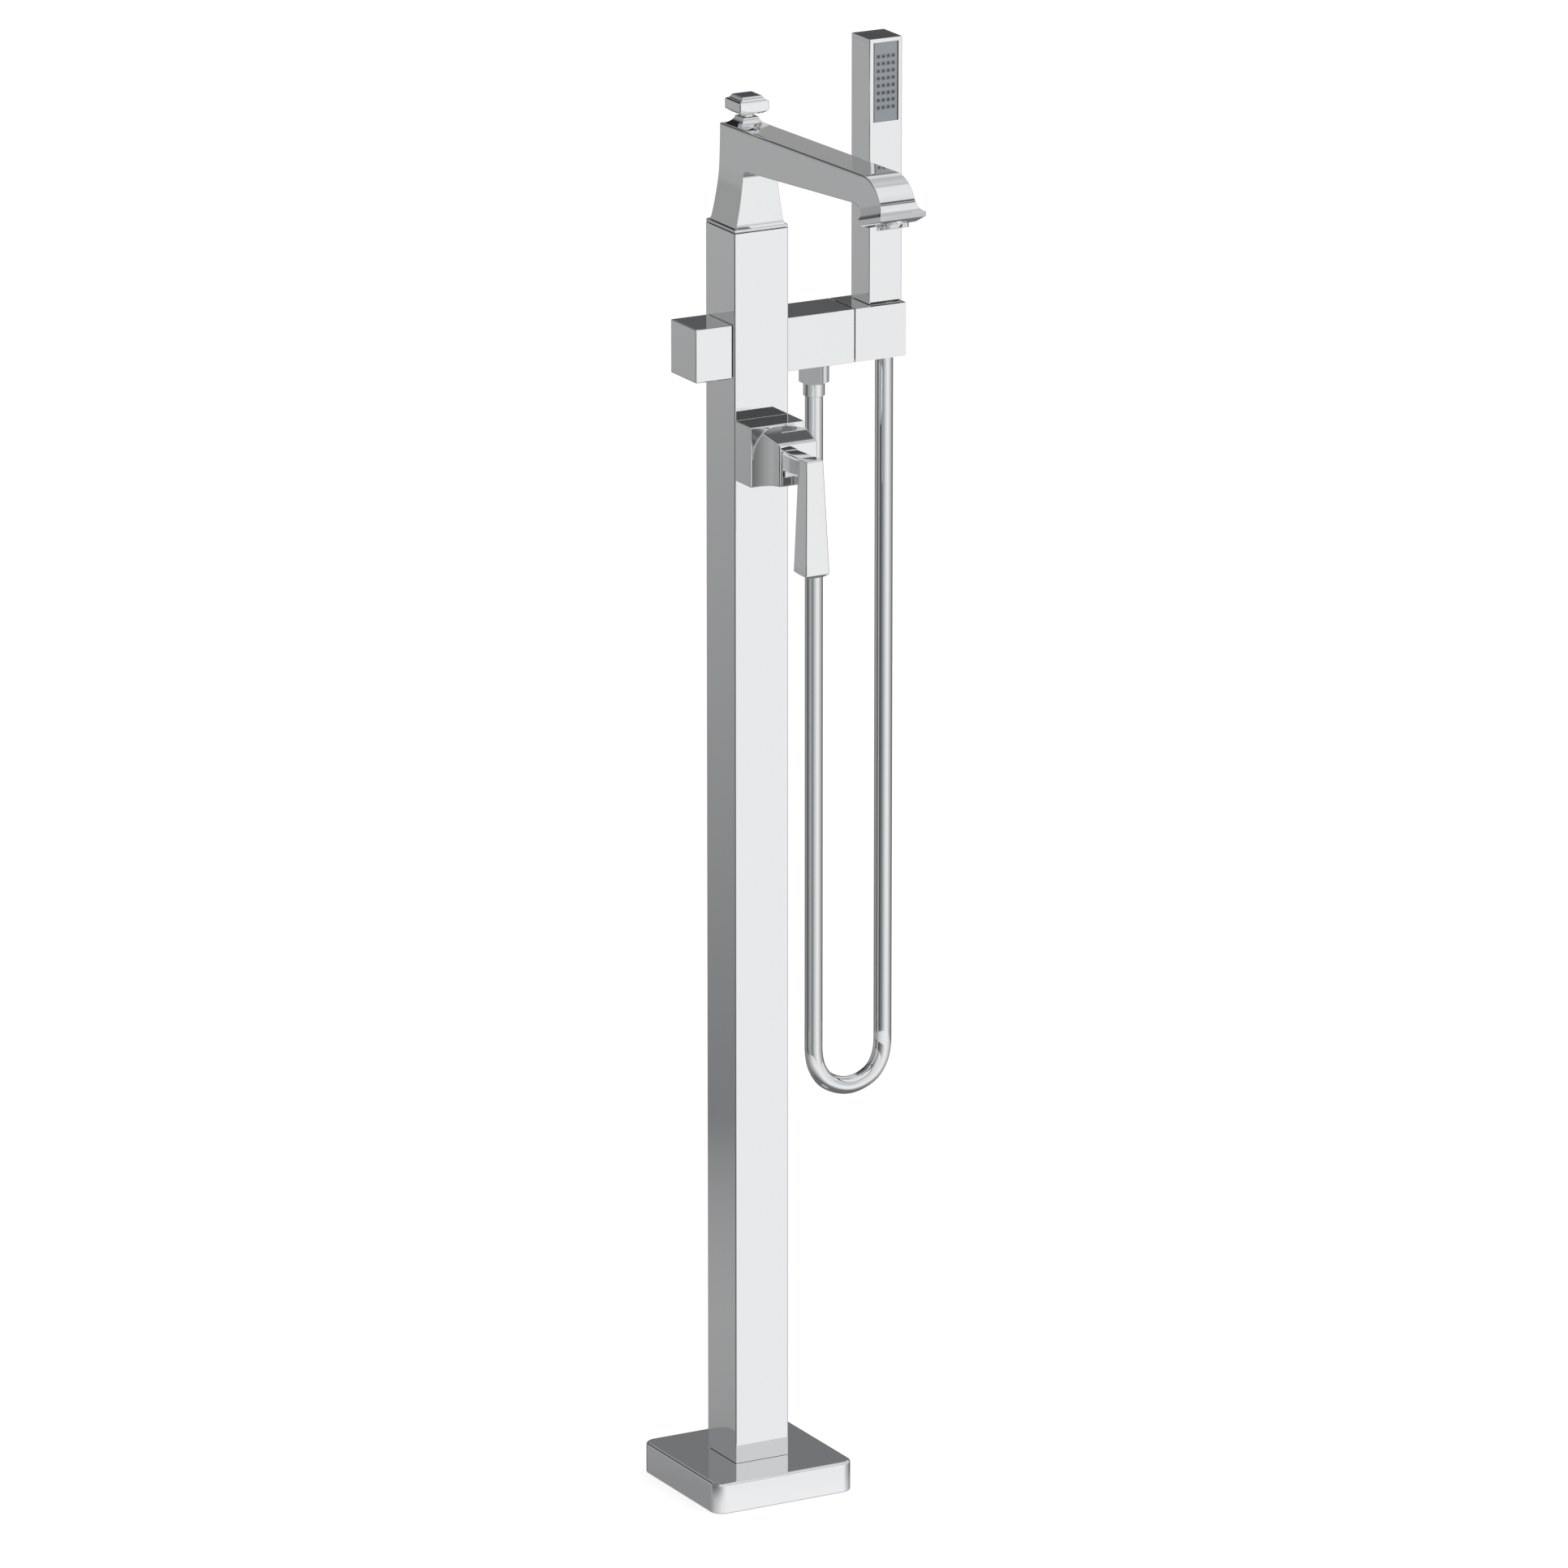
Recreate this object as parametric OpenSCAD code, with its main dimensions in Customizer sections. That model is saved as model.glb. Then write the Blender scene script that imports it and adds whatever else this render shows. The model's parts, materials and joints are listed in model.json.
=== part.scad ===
// Floor standing bath filler: a square column with a lever mixer, a curved spout with a lift
// knob, and a crossbar that holds a square hand shower on its hose. Sizes are in millimetres.
// X runs to the right along the front, the front looks towards -Y, and Z is up. The origin is
// on the floor, at the middle of the base.

/* [Base] */
// Width of the square base cover
base_w = 132; // [112:1:160]
// Height of the base cover
base_h = 26; // [22:1:40]
// Radius of the base cover's upright corners
base_r = 11; // [6:0.5:16]
// Wall of the base cover
base_wall = 1.5; // [1:0.1:2.5]
// Gap between the floor flange and the inside of the base cover
flange_gap = 5.5; // [3:0.5:8]
// Thickness of the floor flange
flange_t = 6; // [5:0.5:8]
// Distance from each floor bolt's middle to the flange's edge
bolt_inset = 14; // [11:0.5:16]
// Diameter of the floor bolt holes
bolt_hole_d = 9; // [7:0.5:11]
// Height of the socket that the column slides over
socket_h = 30; // [24:1:50]

/* [Column] */
// Outer width of the square column
col_w = 50; // [44:0.5:56]
// Height of the column's top edge above the floor
col_top = 1083.8; // [1075:0.1:1160]
// Wall of the column tube
col_wall = 2; // [1.5:0.1:2.4]
// Rounding of the column's long edges
col_edge_r = 1.2; // [0.6:0.1:1.8]

/* [Pipes] */
// Outer diameter of the copper pipes
pipe_d = 12; // [10:0.5:12]
// Wall of the copper pipes
pipe_wall = 1; // [0.8:0.1:1.5]
// Gap between the hot and the cold inlet union
union_gap = 4; // [3:0.5:5]
// Wall of the inlet unions
union_wall = 1.5; // [1.2:0.1:2.5]
// Length of each inlet union
union_len = 22; // [18:1:30]
// Height of the inlet unions above the floor
union_z = 12; // [9:0.5:16]

/* [Mixer valve] */
// Height of the mixer's axis above the floor
valve_z = 902.2; // [880:0.1:910]
// Height of the square valve cover
cover_h = 50.4; // [49:0.2:54]
// How far the valve cover stands out of the column
cover_depth = 27; // [26:0.5:34]
// Wall of the valve cover
cover_wall = 2; // [1.5:0.1:3]
// Height of the valve body
valve_h = 68; // [60:1:72]
// Wall of the valve's boss round the ceramic cartridge
boss_wall = 3; // [2.8:0.1:4.5]
// Diameter of the joystick's shank in the cartridge
spindle_d = 11.9; // [9:0.1:12]

/* [Mixer handle] */
// Distance from the valve cover's side to the bonnet's side
bonnet_inset = 1.1; // [0.5:0.1:2.5]
// Width of the bonnet's square front face
bonnet_face_w = 35; // [34:0.2:38]
// Length of the bonnet from the valve cover to its front face
bonnet_len = 35.4; // [34:0.2:42]
// Width of the dish in the bonnet's face
dish_w = 29; // [27:0.2:30]
// Height of the dish in the bonnet's face
dish_h = 27.2; // [27:0.2:29]
// Depth of the dish's sloped wall
dish_depth = 5; // [4:0.1:6]
// Width of the square neck where it enters the bonnet
neck_w = 17.4; // [16:0.1:17.6]
// Distance from the bonnet's face to the back of the lever's top
lever_out = 13.4; // [12:0.2:20]
// How far the lever's top stands above the mixer's axis
lever_up = 8.8; // [8.4:0.1:10]
// How far the lever hangs below the mixer's axis
lever_down = 86.2; // [70:0.2:110]
// Width of the lever at its top
lever_w_top = 15.5; // [14:0.1:16]
// Width of the lever at its bottom
lever_w_bottom = 22; // [17:0.1:26]
// Depth of the lever at its top
lever_d_top = 14.6; // [13:0.1:17]
// Depth of the lever at its bottom
lever_d_bottom = 22; // [17:0.1:24]
// Height of the pyramid under the lever
lever_tip = 3; // [1:0.5:8]

/* [Crossbar] */
// Height of the crossbar's axis above the floor
bar_z = 984.5; // [975:0.1:992]
// Height of the crossbar
bar_h = 45; // [44:0.5:48]
// Depth of the crossbar from front to back
bar_d = 43.4; // [42:0.2:46]
// Length of the fixed arm, from the column to its end
arm_len = 63.4; // [60:0.2:70]
// Wall of the fixed arm
arm_wall = 2.2; // [1.6:0.1:3]
// Length of the shut-off knob
knob_len = 33.8; // [28:0.2:45]
// Wall of the shut-off knob
knob_wall = 3; // [2:0.5:5]
// Diameter of the shut-off spindle
shutoff_d = 10.9; // [9:0.1:12]
// Outer diameter of the water pipe inside the arm
arm_pipe_d = 14; // [12:0.5:15]

/* [Shower holder] */
// Length of the tilting holder block
holder_len = 47.6; // [46:0.2:54]
// Gap between the fixed arm and the holder block
holder_gap = 0.9; // [0.6:0.1:2]
// Diameter of the holder's pivot shaft
holder_shaft_d = 12; // [10:0.1:13]
// Diameter of the bore that takes the hose cone
holder_bore_d = 19.6; // [19:0.1:20]

/* [Hand shower] */
// Width of the hand shower
stick_w = 30.5; // [30:0.1:33]
// Depth of the hand shower
stick_d = 31; // [30:0.1:34]
// Length of the hand shower
stick_len = 222.2; // [180:0.2:260]
// Wall of the hand shower's shell
stick_wall = 1.8; // [1.2:0.1:2]
// Gap from the holder's right end to the hand shower's right side
stick_inset = 0.5; // [0:0.1:1]
// Thickness of the top plate
top_plate = 3; // [2:0.5:6]
// Width of the spray plate
panel_w = 21.2; // [21:0.2:23]
// Height of the spray plate
panel_h = 66.4; // [62:0.2:80]
// Distance from the hand shower's top to the spray plate
panel_down = 3.3; // [3:0.1:12]
// Columns of nozzles
nozzle_cols = 4; // [2:1:4]
// Rows of nozzles
nozzle_rows = 8; // [4:1:9]
// Distance between nozzle columns
nozzle_dx = 4.6; // [4:0.1:5]
// Distance between nozzle rows
nozzle_dz = 6.1; // [4.5:0.1:6.6]
// Width of one square nozzle
nozzle_w = 2.8; // [2:0.1:3.2]

/* [Shower hose] */
// Outer diameter of the hose
hose_d = 15; // [14:0.5:15.5]
// Width across the flats of the hose nut
nut_af = 22; // [21:0.5:25]
// Height of the hose nut
nut_h = 17.3; // [15:0.1:17.4]
// Diameter of the hose ferrule
ferrule_d = 17.9; // [17:0.1:19]
// Distance from the column's side to the middle of the hose outlet
outlet_in = 37.5; // [35:0.5:41]
// Distance from the holder's right end to the middle of the hose's upper end
hose_inset = 11.4; // [11:0.1:12.5]

/* [Spout] */
// Height of the square bead between the column and the spout
bead_h = 3.2; // [2.5:0.1:5]
// Shadow gap under the bead
bead_gap = 0.3; // [0.2:0.1:0.6]
// Distance from the column's side to the side of the spout's leg at its foot
leg_inset = 2.6; // [2:0.1:4]
// Width of the spout's arm
spout_w = 32.4; // [31:0.2:36]
// Distance from the column's middle to the crown of the hood
reach = 222.5; // [200:0.5:250]
// Height of the spout's top at the column, above the column's top
spout_h = 84.1; // [82:0.1:92]
// Rise of the spout's top from the column to the hood, in degrees
top_rise = 1.3; // [0.5:0.1:2]
// Rise of the arm's underside, in degrees
under_rise = 3.9; // [3:0.1:4.5]
// Depth of the arm where it leaves the leg
arm_depth = 34.6; // [33:0.2:37]
// Radius of the hood
hood_r = 32; // [31:0.5:34]
// Tilt of the outlet, in degrees
lip_tilt = 16.4; // [12:0.2:20]
// Width of the flared lip
lip_w = 42; // [38:0.5:46]
// Depth of the flared lip from front to back
lip_d = 40; // [38:0.5:42]
// Thickness of the lip
lip_t = 3.9; // [3:0.1:5]
// Outer diameter of the aerator
aerator_d = 26; // [24:0.2:27]
// How far the aerator stands out of the outlet
aerator_out = 3.4; // [2:0.1:6]

/* [Lift knob] */
// Width of the knob's square cap
cap_w = 27; // [24:0.2:30]
// Height of the cap's upright band
cap_band = 8.2; // [6:0.2:12]
// Height of the cap's sloped crown
cap_crown = 4; // [2:0.2:6]
// Width of the cap's top face
cap_top_w = 18; // [14:0.2:20]
// Height of the fixed pedestal under the knob
pedestal_h = 6.8; // [6:0.2:10]
// Width of the pedestal at its foot
pedestal_w = 27.6; // [25:0.2:29]
// Width of the pedestal at its top
pedestal_top_w = 14.6; // [13:0.2:16]
// Diameter of the lift rod
rod_d = 6; // [4:0.1:6.5]
// Height that the knob lifts
lift_travel = 10; // [5:0.5:12]

/* [Fits] */
// Radial gap of a shaft that turns in its bore
run_gap = 0.05; // [0.02:0.01:0.08]
// Gap between a pipe or screw and the hole it is fixed in
fixed_gap = 0.05; // [0.02:0.01:0.1]
// Gap between the column and what slides into it
slide_gap = 0.2; // [0.1:0.05:0.3]
// Gap between a moving cover and what it faces
face_gap = 0.4; // [0.3:0.1:0.8]

/* [Hidden] */
$fn = 64;

chrome = "#d9dcde";
steel = "#b8bcbf";
brass = "#c9a95a";
copper = "#c47a4a";
rubber_grey = "#2c2e30";
panel_grey = "#83888c";
plastic_white = "#e6e8e6";

// A small overshoot, so that cuts pass clean through a face
cut = 1;

// Column and base
flange_w = base_w - 2 * base_wall - 2 * flange_gap;
bolt_spacing = flange_w - 2 * bolt_inset;
col_in = col_w - 2 * col_wall;
socket_w = col_in - 2 * slide_gap;
socket_wall = 2.4;
socket_in = socket_w - 2 * socket_wall;
base_top_r = 2;
set_screw_d = 5;
set_screw_z = flange_t + socket_h / 4;

// Pipes and the unions, which fill the socket side by side
socket_clear = 0.4;
union_d = (socket_in - union_gap) / 2 - socket_clear;
union_bore_d = union_d - 2 * union_wall;
pipe_spacing = union_d + union_gap;
pipe_in = pipe_d - 2 * pipe_wall;
pipe_x = pipe_spacing / 2;
pipe_hole_d = pipe_d + 2 * fixed_gap;
pipe_grip = 10;

// Valve
cover_y = -col_w / 2 - cover_depth;
valve_w = col_in - 2 * slide_gap;
valve_back = valve_w / 2 - 2.8;
valve_front = -valve_w / 2;
valve_bottom = valve_z - valve_h / 2;
valve_top = valve_z + valve_h / 2;
boss_d = col_in - 4;
boss_y = cover_y + cover_wall + 0.5;
chamber_d = boss_d - 2 * boss_wall;
cartridge_d = chamber_d - 0.6;
chamber_back = -15;
nut_ring = 4.5;
cartridge_front = boss_y + nut_ring + 0.5;
cartridge_step = 6.7;
cartridge_neck_d = cartridge_d - 2 * cartridge_step;
neck_front = cover_y + 0.5;
spindle_back = -25;
spindle_bore_d = spindle_d + 2 * run_gap;
port_d = 8;
port_z = 7.2;
mix_port_z = 9;

// Handle
bonnet_w = col_w - 2 * bonnet_inset;
bonnet_arch_d = bonnet_w - 0.4;
bonnet_front = cover_y - bonnet_len;
arch_grow = 22;
cavity_w = 21.2;
cavity_depth = 23;
pivot_y = bonnet_front + 10.4;
pin_d = 3.4;
cross_w = 7.2;
cross_gap = 0.3;
ear_t = 3.4;
arm_t = 2.7;
fork_back = pivot_y + 5.4;
fork_base = 6;
bonnet_screw_d = 4;
bonnet_screw_len = 6;
bonnet_screw_y = cover_y - 6;
neck_back = pivot_y - 6.6;
lever_back_top = bonnet_front - lever_out;
lever_front_top = lever_back_top - lever_d_top;
lever_front_bottom = lever_front_top - 5;
lever_back_bottom = lever_front_bottom + lever_d_bottom;

// Crossbar
arm_x0 = col_w / 2;
arm_x1 = arm_x0 + arm_len;
arm_end = 3;
knob_x1 = -col_w / 2 - face_gap;
knob_x0 = knob_x1 - knob_len;
shutoff_hole_d = shutoff_d + 2 * run_gap;
manifold_w = col_in - 2 * slide_gap;
manifold_h = 41;
manifold_bottom = bar_z - manifold_h / 2;
manifold_top = bar_z + manifold_h / 2;
water_d = 9;
arm_pipe_hole_d = arm_pipe_d + 2 * fixed_gap;
elbow_w = 22;
outlet_x = arm_x0 + outlet_in;
nipple_d = 15.9;
nipple_bore_d = 10;
nipple_top = bar_z - 4;
arm_pipe_x0 = 12;
arm_pipe_x1 = outlet_x - nipple_d / 2 - 0.4;

// Hose and its fittings, from the arm downwards
nut_top = bar_z - bar_h / 2 - 0.5;
nut_bottom = nut_top - nut_h;
washer_t = 1.8;
nipple_bottom = nut_bottom + washer_t + 0.2;
hose_start_z = 933;
hose_end_z = 984;
hose_end_y = -5;
hose_sides = 12;
hose_steps = 2;
hose_route = [
    [62.5, 0, 933],
    [62.5, 0, 900],
    [62.5, 0, 830],
    [62.5, 0, 760],
    [62.5, 0, 690],
    [62.5, 0, 620],
    [62.5, 0, 550],
    [62.5, 0, 480],
    [62.5, 0, 430],
    [62.5, 0, 395],
    [62.5, 0, 380],
    [62.5, -0.5, 366],
    [65, -1, 354],
    [71.5, -1.5, 343.5],
    [82, -2, 337],
    [94, -2.5, 334.5],
    [106, -3, 337],
    [116.5, -3.5, 343.5],
    [123, -4, 354],
    [125.5, -4.5, 366],
    [125.5, -5, 380],
    [125.5, -5, 395],
    [125.5, -5, 430],
    [125.5, -5, 480],
    [125.5, -5, 550],
    [125.5, -5, 620],
    [125.5, -5, 690],
    [125.5, -5, 760],
    [125.5, -5, 830],
    [125.5, -5, 900],
    [125.5, -5, 950],
    [125.5, -5, 984]
];

// Holder and hand shower
holder_x0 = arm_x1 + holder_gap;
holder_x1 = holder_x0 + holder_len;
holder_top = bar_z + bar_h / 2;
hose_end_x = holder_x1 - hose_inset;
shaft_x0 = arm_x1 - 8;
shaft_x1 = holder_x0 + 12;
lock_nut_w = 3;
washer_d = 36;
slot_d = holder_bore_d + 0.4;
slot_back = 6;
slot_front = 5;
stick_x1 = holder_x1 - stick_inset;
stick_x = stick_x1 - stick_w / 2;
stick_y = 0.5;
stick_bottom = holder_top + 0.3;
stick_top = stick_bottom + stick_len;
shell_top = stick_top - top_plate;
panel_top = stick_top - panel_down;
panel_bottom = panel_top - panel_h;
panel_t = 3.5;
panel_y = stick_y - stick_d / 2;
nozzle_out = 0.5;
foot_h = 9.6;
inner_w = stick_w - 2 * stick_wall;
inner_d = stick_d - 2 * stick_wall;
cone_top_d = 19;
cone_bottom_d = 17;
cone_neck_d = 14;
cone_neck_h = 8;
waterway_d = 15;
chamber_box_d = 16;

// Spout
bead_z0 = col_top + bead_gap;
bead_z1 = bead_z0 + bead_h;
spigot_w = col_in - 2 * slide_gap;
spigot_h = 14;
leg_w = col_w - 2 * leg_inset;
leg_front = -leg_w / 2 - 0.1;
leg_back = leg_w / 2;
leg_flare_h = 45.5;
cove_h = 2.2;
top_z0 = col_top + spout_h;
under_z0 = col_top + spout_h - arm_depth;
arch_r = 8;
diverter_bore_d = 24;
arm_bore_w = 20;
outlet_bore_d = 22;
guide_d = rod_d + 2 * run_gap;
hood_z = top_at(reach) - hood_r;
flare_deg = 70;
// The lip's lower edges at the front and the back, found from the hood's circle
lip_front_y = -reach - hood_r - 6.6;
lip_front_z = hood_z + 2.9;
lip_mid_y = lip_front_y + lip_d / 2 * cos(lip_tilt);
lip_mid_z = lip_front_z - lip_d / 2 * sin(lip_tilt);
hopper_h = 3;
aerator_neck_d = outlet_bore_d - 2 * fixed_gap;
aerator_neck_h = 9;
aerator_teeth = 10;
insert_h = 7;

// Lift knob
seat_gap = 0.02;
pedestal_top = top_z0 + 0.2 + pedestal_h;
cap_z0 = pedestal_top + 5.6;
cap_neck_d = 11;
cap_under = 2.2;
rod_bottom = col_top + 21;
piston_d = 16;
piston_h = 10;
seat_d = diverter_bore_d - 2 * fixed_gap;
seat_top = rod_bottom + piston_h + lift_travel + 6;

// Height of the spout's top and underside at a distance y in front of the column's middle
function top_at(y) = top_z0 + y * tan(top_rise);
function under_at(y) = under_z0 + y * tan(under_rise);
// Half width of the leg at a height above its foot
function leg_half(h) = h >= leg_flare_h ? spout_w / 2
    : spout_w / 2 + (leg_w - spout_w) / 2 * pow((leg_flare_h - h) / leg_flare_h, 1.6);
// Distance of the leg's back from the middle at a height above its foot
function back_at(h) = 17.2 + (leg_back - 17.2) * pow(max(0, 78.5 - h) / 78.5, 1.3);
// Points on an arc around a centre, from one angle to another
function arc(c, r, a0, a1, n) = [for (i = [0:n]) let (a = a0 + (a1 - a0) * i / n)
    [c[0] + r * cos(a), c[1] + r * sin(a)]];
// A point along a smooth curve through four route points
function blend4(p0, p1, p2, p3, t) = 0.5 * (2 * p1 + (p2 - p0) * t
    + (2 * p0 - 5 * p1 + 4 * p2 - p3) * t * t + (3 * p1 - p0 - 3 * p2 + p3) * t * t * t);
function route_at(r, i, t) = blend4(r[max(i - 1, 0)], r[i], r[i + 1],
    r[min(i + 2, len(r) - 1)], t);
function unit(v) = v / norm(v);

// A round bar, a block or a flat outline along one axis
module round_x(d, x0, x1, y = 0, z = 0) {
    translate([x0, y, z]) rotate([0, 90, 0]) cylinder(d = d, h = x1 - x0);
}
module round_y(d, y0, y1, x = 0, z = 0) {
    translate([x, y1, z]) rotate([90, 0, 0]) cylinder(d = d, h = y1 - y0);
}
module round_z(d, z0, z1, x = 0, y = 0) {
    translate([x, y, z0]) cylinder(d = d, h = z1 - z0);
}
module block(x0, x1, y0, y1, z0, z1) {
    translate([x0, y0, z0]) cube([x1 - x0, y1 - y0, z1 - z0]);
}
module square_z(w, z0, z1) {
    block(-w / 2, w / 2, -w / 2, w / 2, z0, z1);
}
module along_x(x0, x1) {
    translate([x0, 0, 0]) rotate([90, 0, 90]) linear_extrude(x1 - x0) children();
}
module along_y(y0, y1) {
    translate([0, y1, 0]) rotate([90, 0, 0]) linear_extrude(y1 - y0) children();
}
// A square outline with round corners
module round_square(w, r) {
    square([w - 2 * r, w], center = true);
    square([w, w - 2 * r], center = true);
    for (sx = [-1, 1], sy = [-1, 1]) {
        translate([sx * (w / 2 - r), sy * (w / 2 - r)]) circle(r);
    }
}
// A ring with a true bore
module ring_z(d, bore, z0, z1, x = 0, y = 0) {
    difference() {
        round_z(d, z0, z1, x, y);
        round_z(bore, z0 - cut, z1 + cut, x, y);
    }
}
// The corners of a rounded box, as discs that a hull joins
module corner_discs(w, r, z0, z1) {
    for (sx = [-1, 1], sy = [-1, 1]) {
        translate([sx * (w / 2 - r), sy * (w / 2 - r), z0]) cylinder(r = r, h = z1 - z0, $fn = 32);
    }
}

// Base

module floor_flange() {
    color(steel) difference() {
        union() {
            square_z(flange_w, 0, flange_t);
            square_z(socket_w, flange_t, flange_t + socket_h);
        }
        square_z(socket_in, -cut, flange_t + socket_h + cut);
        for (sx = [-1, 1], sy = [-1, 1]) {
            round_z(bolt_hole_d, -cut, flange_t + cut, sx * bolt_spacing / 2, sy * bolt_spacing / 2);
        }
        for (a = [0:90:270]) rotate([0, 0, a]) {
            round_x(set_screw_d + 2 * fixed_gap, socket_in / 2 - cut, socket_w / 2 + cut,
                z = set_screw_z);
        }
    }
}

module base_cover() {
    color(chrome) difference() {
        hull() {
            corner_discs(base_w, base_r, 0, base_h - base_top_r);
            corner_discs(base_w - base_top_r * 0.6, base_r - base_top_r * 0.3,
                0, base_h - base_top_r * 0.3);
            corner_discs(base_w - base_top_r * 2, base_r - base_top_r, 0, base_h);
        }
        hull() corner_discs(base_w - 2 * base_wall, base_r - base_wall, -cut, base_h - base_wall);
        square_z(col_w + 2 * slide_gap, -cut, base_h + cut);
    }
}

module column_set_screws() {
    color(steel) for (a = [0:90:270]) rotate([0, 0, a]) {
        round_x(set_screw_d, socket_in / 2 + 0.4, col_w / 2, z = set_screw_z);
    }
}

module column_tube() {
    color(chrome) difference() {
        translate([0, 0, flange_t]) linear_extrude(col_top - flange_t) round_square(col_w, col_edge_r);
        square_z(col_in, flange_t - cut, col_top + cut);
        round_y(boss_d + 2 * slide_gap, -col_w, 0, z = valve_z);
        round_x(shutoff_d + 4, -col_w, 0, z = bar_z);
        round_x(arm_pipe_d + 4, 0, col_w, z = bar_z);
        for (a = [0:90:270]) rotate([0, 0, a]) {
            round_x(set_screw_d + 2 * fixed_gap, 0, col_w, z = set_screw_z);
        }
        round_y(set_screw_d + 2 * fixed_gap, 0, col_w, z = col_top - spigot_h / 2);
    }
}

// Pipes and valve

module inlet_unions() {
    color(brass) for (sx = [-1, 1]) difference() {
        round_z(union_d, union_z, union_z + union_len, sx * pipe_x);
        round_z(union_bore_d, union_z - cut, union_z + union_len - pipe_grip, sx * pipe_x);
        round_z(pipe_hole_d, union_z, union_z + union_len + cut, sx * pipe_x);
    }
}

module pipe(z0, z1, x) {
    color(copper) ring_z(pipe_d, pipe_in, z0, z1, x);
}

module hot_supply_pipe() {
    pipe(union_z + union_len - pipe_grip, valve_bottom + pipe_grip, -pipe_x);
}

module cold_supply_pipe() {
    pipe(union_z + union_len - pipe_grip, valve_bottom + pipe_grip, pipe_x);
}

module lower_riser_pipe() {
    pipe(valve_top - pipe_grip, manifold_bottom + pipe_grip, 0);
}

module upper_riser_pipe() {
    pipe(manifold_top - pipe_grip, col_top - spigot_h + pipe_grip, 0);
}

module valve_body() {
    color(brass) difference() {
        union() {
            block(-valve_w / 2, valve_w / 2, valve_front, valve_back, valve_bottom, valve_top);
            round_y(boss_d, boss_y, valve_front + cut, z = valve_z);
        }
        round_y(chamber_d, boss_y - cut, chamber_back, z = valve_z);
        for (sx = [-1, 1]) {
            round_z(pipe_hole_d, valve_bottom - cut, valve_bottom + pipe_grip, sx * pipe_x);
            round_z(water_d, valve_bottom, valve_z - port_z + port_d / 4, sx * pipe_x);
            round_y(port_d, chamber_back - cut, 0, sx * pipe_x, valve_z - port_z);
        }
        round_z(pipe_hole_d, valve_top - pipe_grip, valve_top + cut);
        round_z(water_d, valve_z + mix_port_z, valve_top);
        round_y(port_d, chamber_back - cut, 0, 0, valve_z + mix_port_z);
    }
}

module valve_cover() {
    color(chrome) difference() {
        block(-col_w / 2, col_w / 2, cover_y, -col_w / 2,
            valve_z - cover_h / 2, valve_z + cover_h / 2);
        block(-col_w / 2 + cover_wall, col_w / 2 - cover_wall, cover_y + cover_wall, 0,
            valve_z - cover_h / 2 + cover_wall, valve_z + cover_h / 2 - cover_wall);
        round_y(cartridge_neck_d + 2, cover_y - cut, 0, z = valve_z);
    }
}

module cartridge() {
    color(plastic_white) difference() {
        union() {
            round_y(cartridge_d, cartridge_front, chamber_back, z = valve_z);
            round_y(cartridge_neck_d, neck_front, cartridge_front + cut, z = valve_z);
        }
        round_y(spindle_bore_d, neck_front - cut, spindle_back + 1, z = valve_z);
    }
}

module cartridge_nut() {
    color(brass) difference() {
        round_y(chamber_d - 2 * fixed_gap, cartridge_front - nut_ring, cartridge_front, z = valve_z);
        round_y(cartridge_neck_d + 1, cover_y, 0, z = valve_z);
    }
}

// Crossbar, its water way and the shut-off knob

module manifold() {
    color(brass) difference() {
        block(-manifold_w / 2, manifold_w / 2, -manifold_w / 2, manifold_w / 2,
            manifold_bottom, manifold_top);
        round_z(water_d, manifold_bottom - cut, manifold_top + cut);
        round_z(pipe_hole_d, manifold_bottom - cut, manifold_bottom + pipe_grip);
        round_z(pipe_hole_d, manifold_top - pipe_grip, manifold_top + cut);
        round_x(shutoff_hole_d, -manifold_w, -5, z = bar_z);
        round_x(arm_pipe_hole_d, arm_pipe_x0, manifold_w, z = bar_z);
        round_x(water_d, -6, arm_pipe_x0 + cut, z = bar_z);
    }
}

module crossbar_arm() {
    color(chrome) difference() {
        block(arm_x0, arm_x1, -bar_d / 2, bar_d / 2, bar_z - bar_h / 2, bar_z + bar_h / 2);
        block(arm_x0 - cut, arm_x1 - arm_end, -bar_d / 2 + arm_wall, bar_d / 2 - arm_wall,
            bar_z - bar_h / 2 + arm_wall, bar_z + bar_h / 2 - arm_wall);
        round_x(holder_shaft_d + 2 * run_gap, 0, arm_x1 + cut, z = bar_z);
        round_z(nipple_d + 2 * fixed_gap, bar_z - bar_h, bar_z, outlet_x);
    }
}

module arm_water_pipe() {
    color(copper) difference() {
        round_x(arm_pipe_d, arm_pipe_x0, arm_pipe_x1, z = bar_z);
        round_x(arm_pipe_d - 4, arm_pipe_x0 - cut, outlet_x, z = bar_z);
    }
}

module outlet_elbow() {
    color(brass) difference() {
        block(outlet_x - elbow_w / 2, outlet_x + elbow_w / 2, -elbow_w / 2, elbow_w / 2,
            bar_z - bar_h / 2 + arm_wall, bar_z + elbow_w / 2);
        round_x(arm_pipe_hole_d, 0, arm_pipe_x1, z = bar_z);
        round_x(water_d, 0, outlet_x, z = bar_z);
        round_z(water_d, bar_z - bar_h, bar_z, outlet_x);
        round_z(nipple_d + 2 * fixed_gap, bar_z - bar_h, nipple_top, outlet_x);
    }
}

module hose_nipple() {
    color(brass) ring_z(nipple_d, nipple_bore_d, nipple_bottom, nipple_top, outlet_x);
}

module hose_washer() {
    color(rubber_grey) ring_z(nipple_d, nipple_bore_d, nut_bottom + 0.2, nipple_bottom, outlet_x);
}

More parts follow.
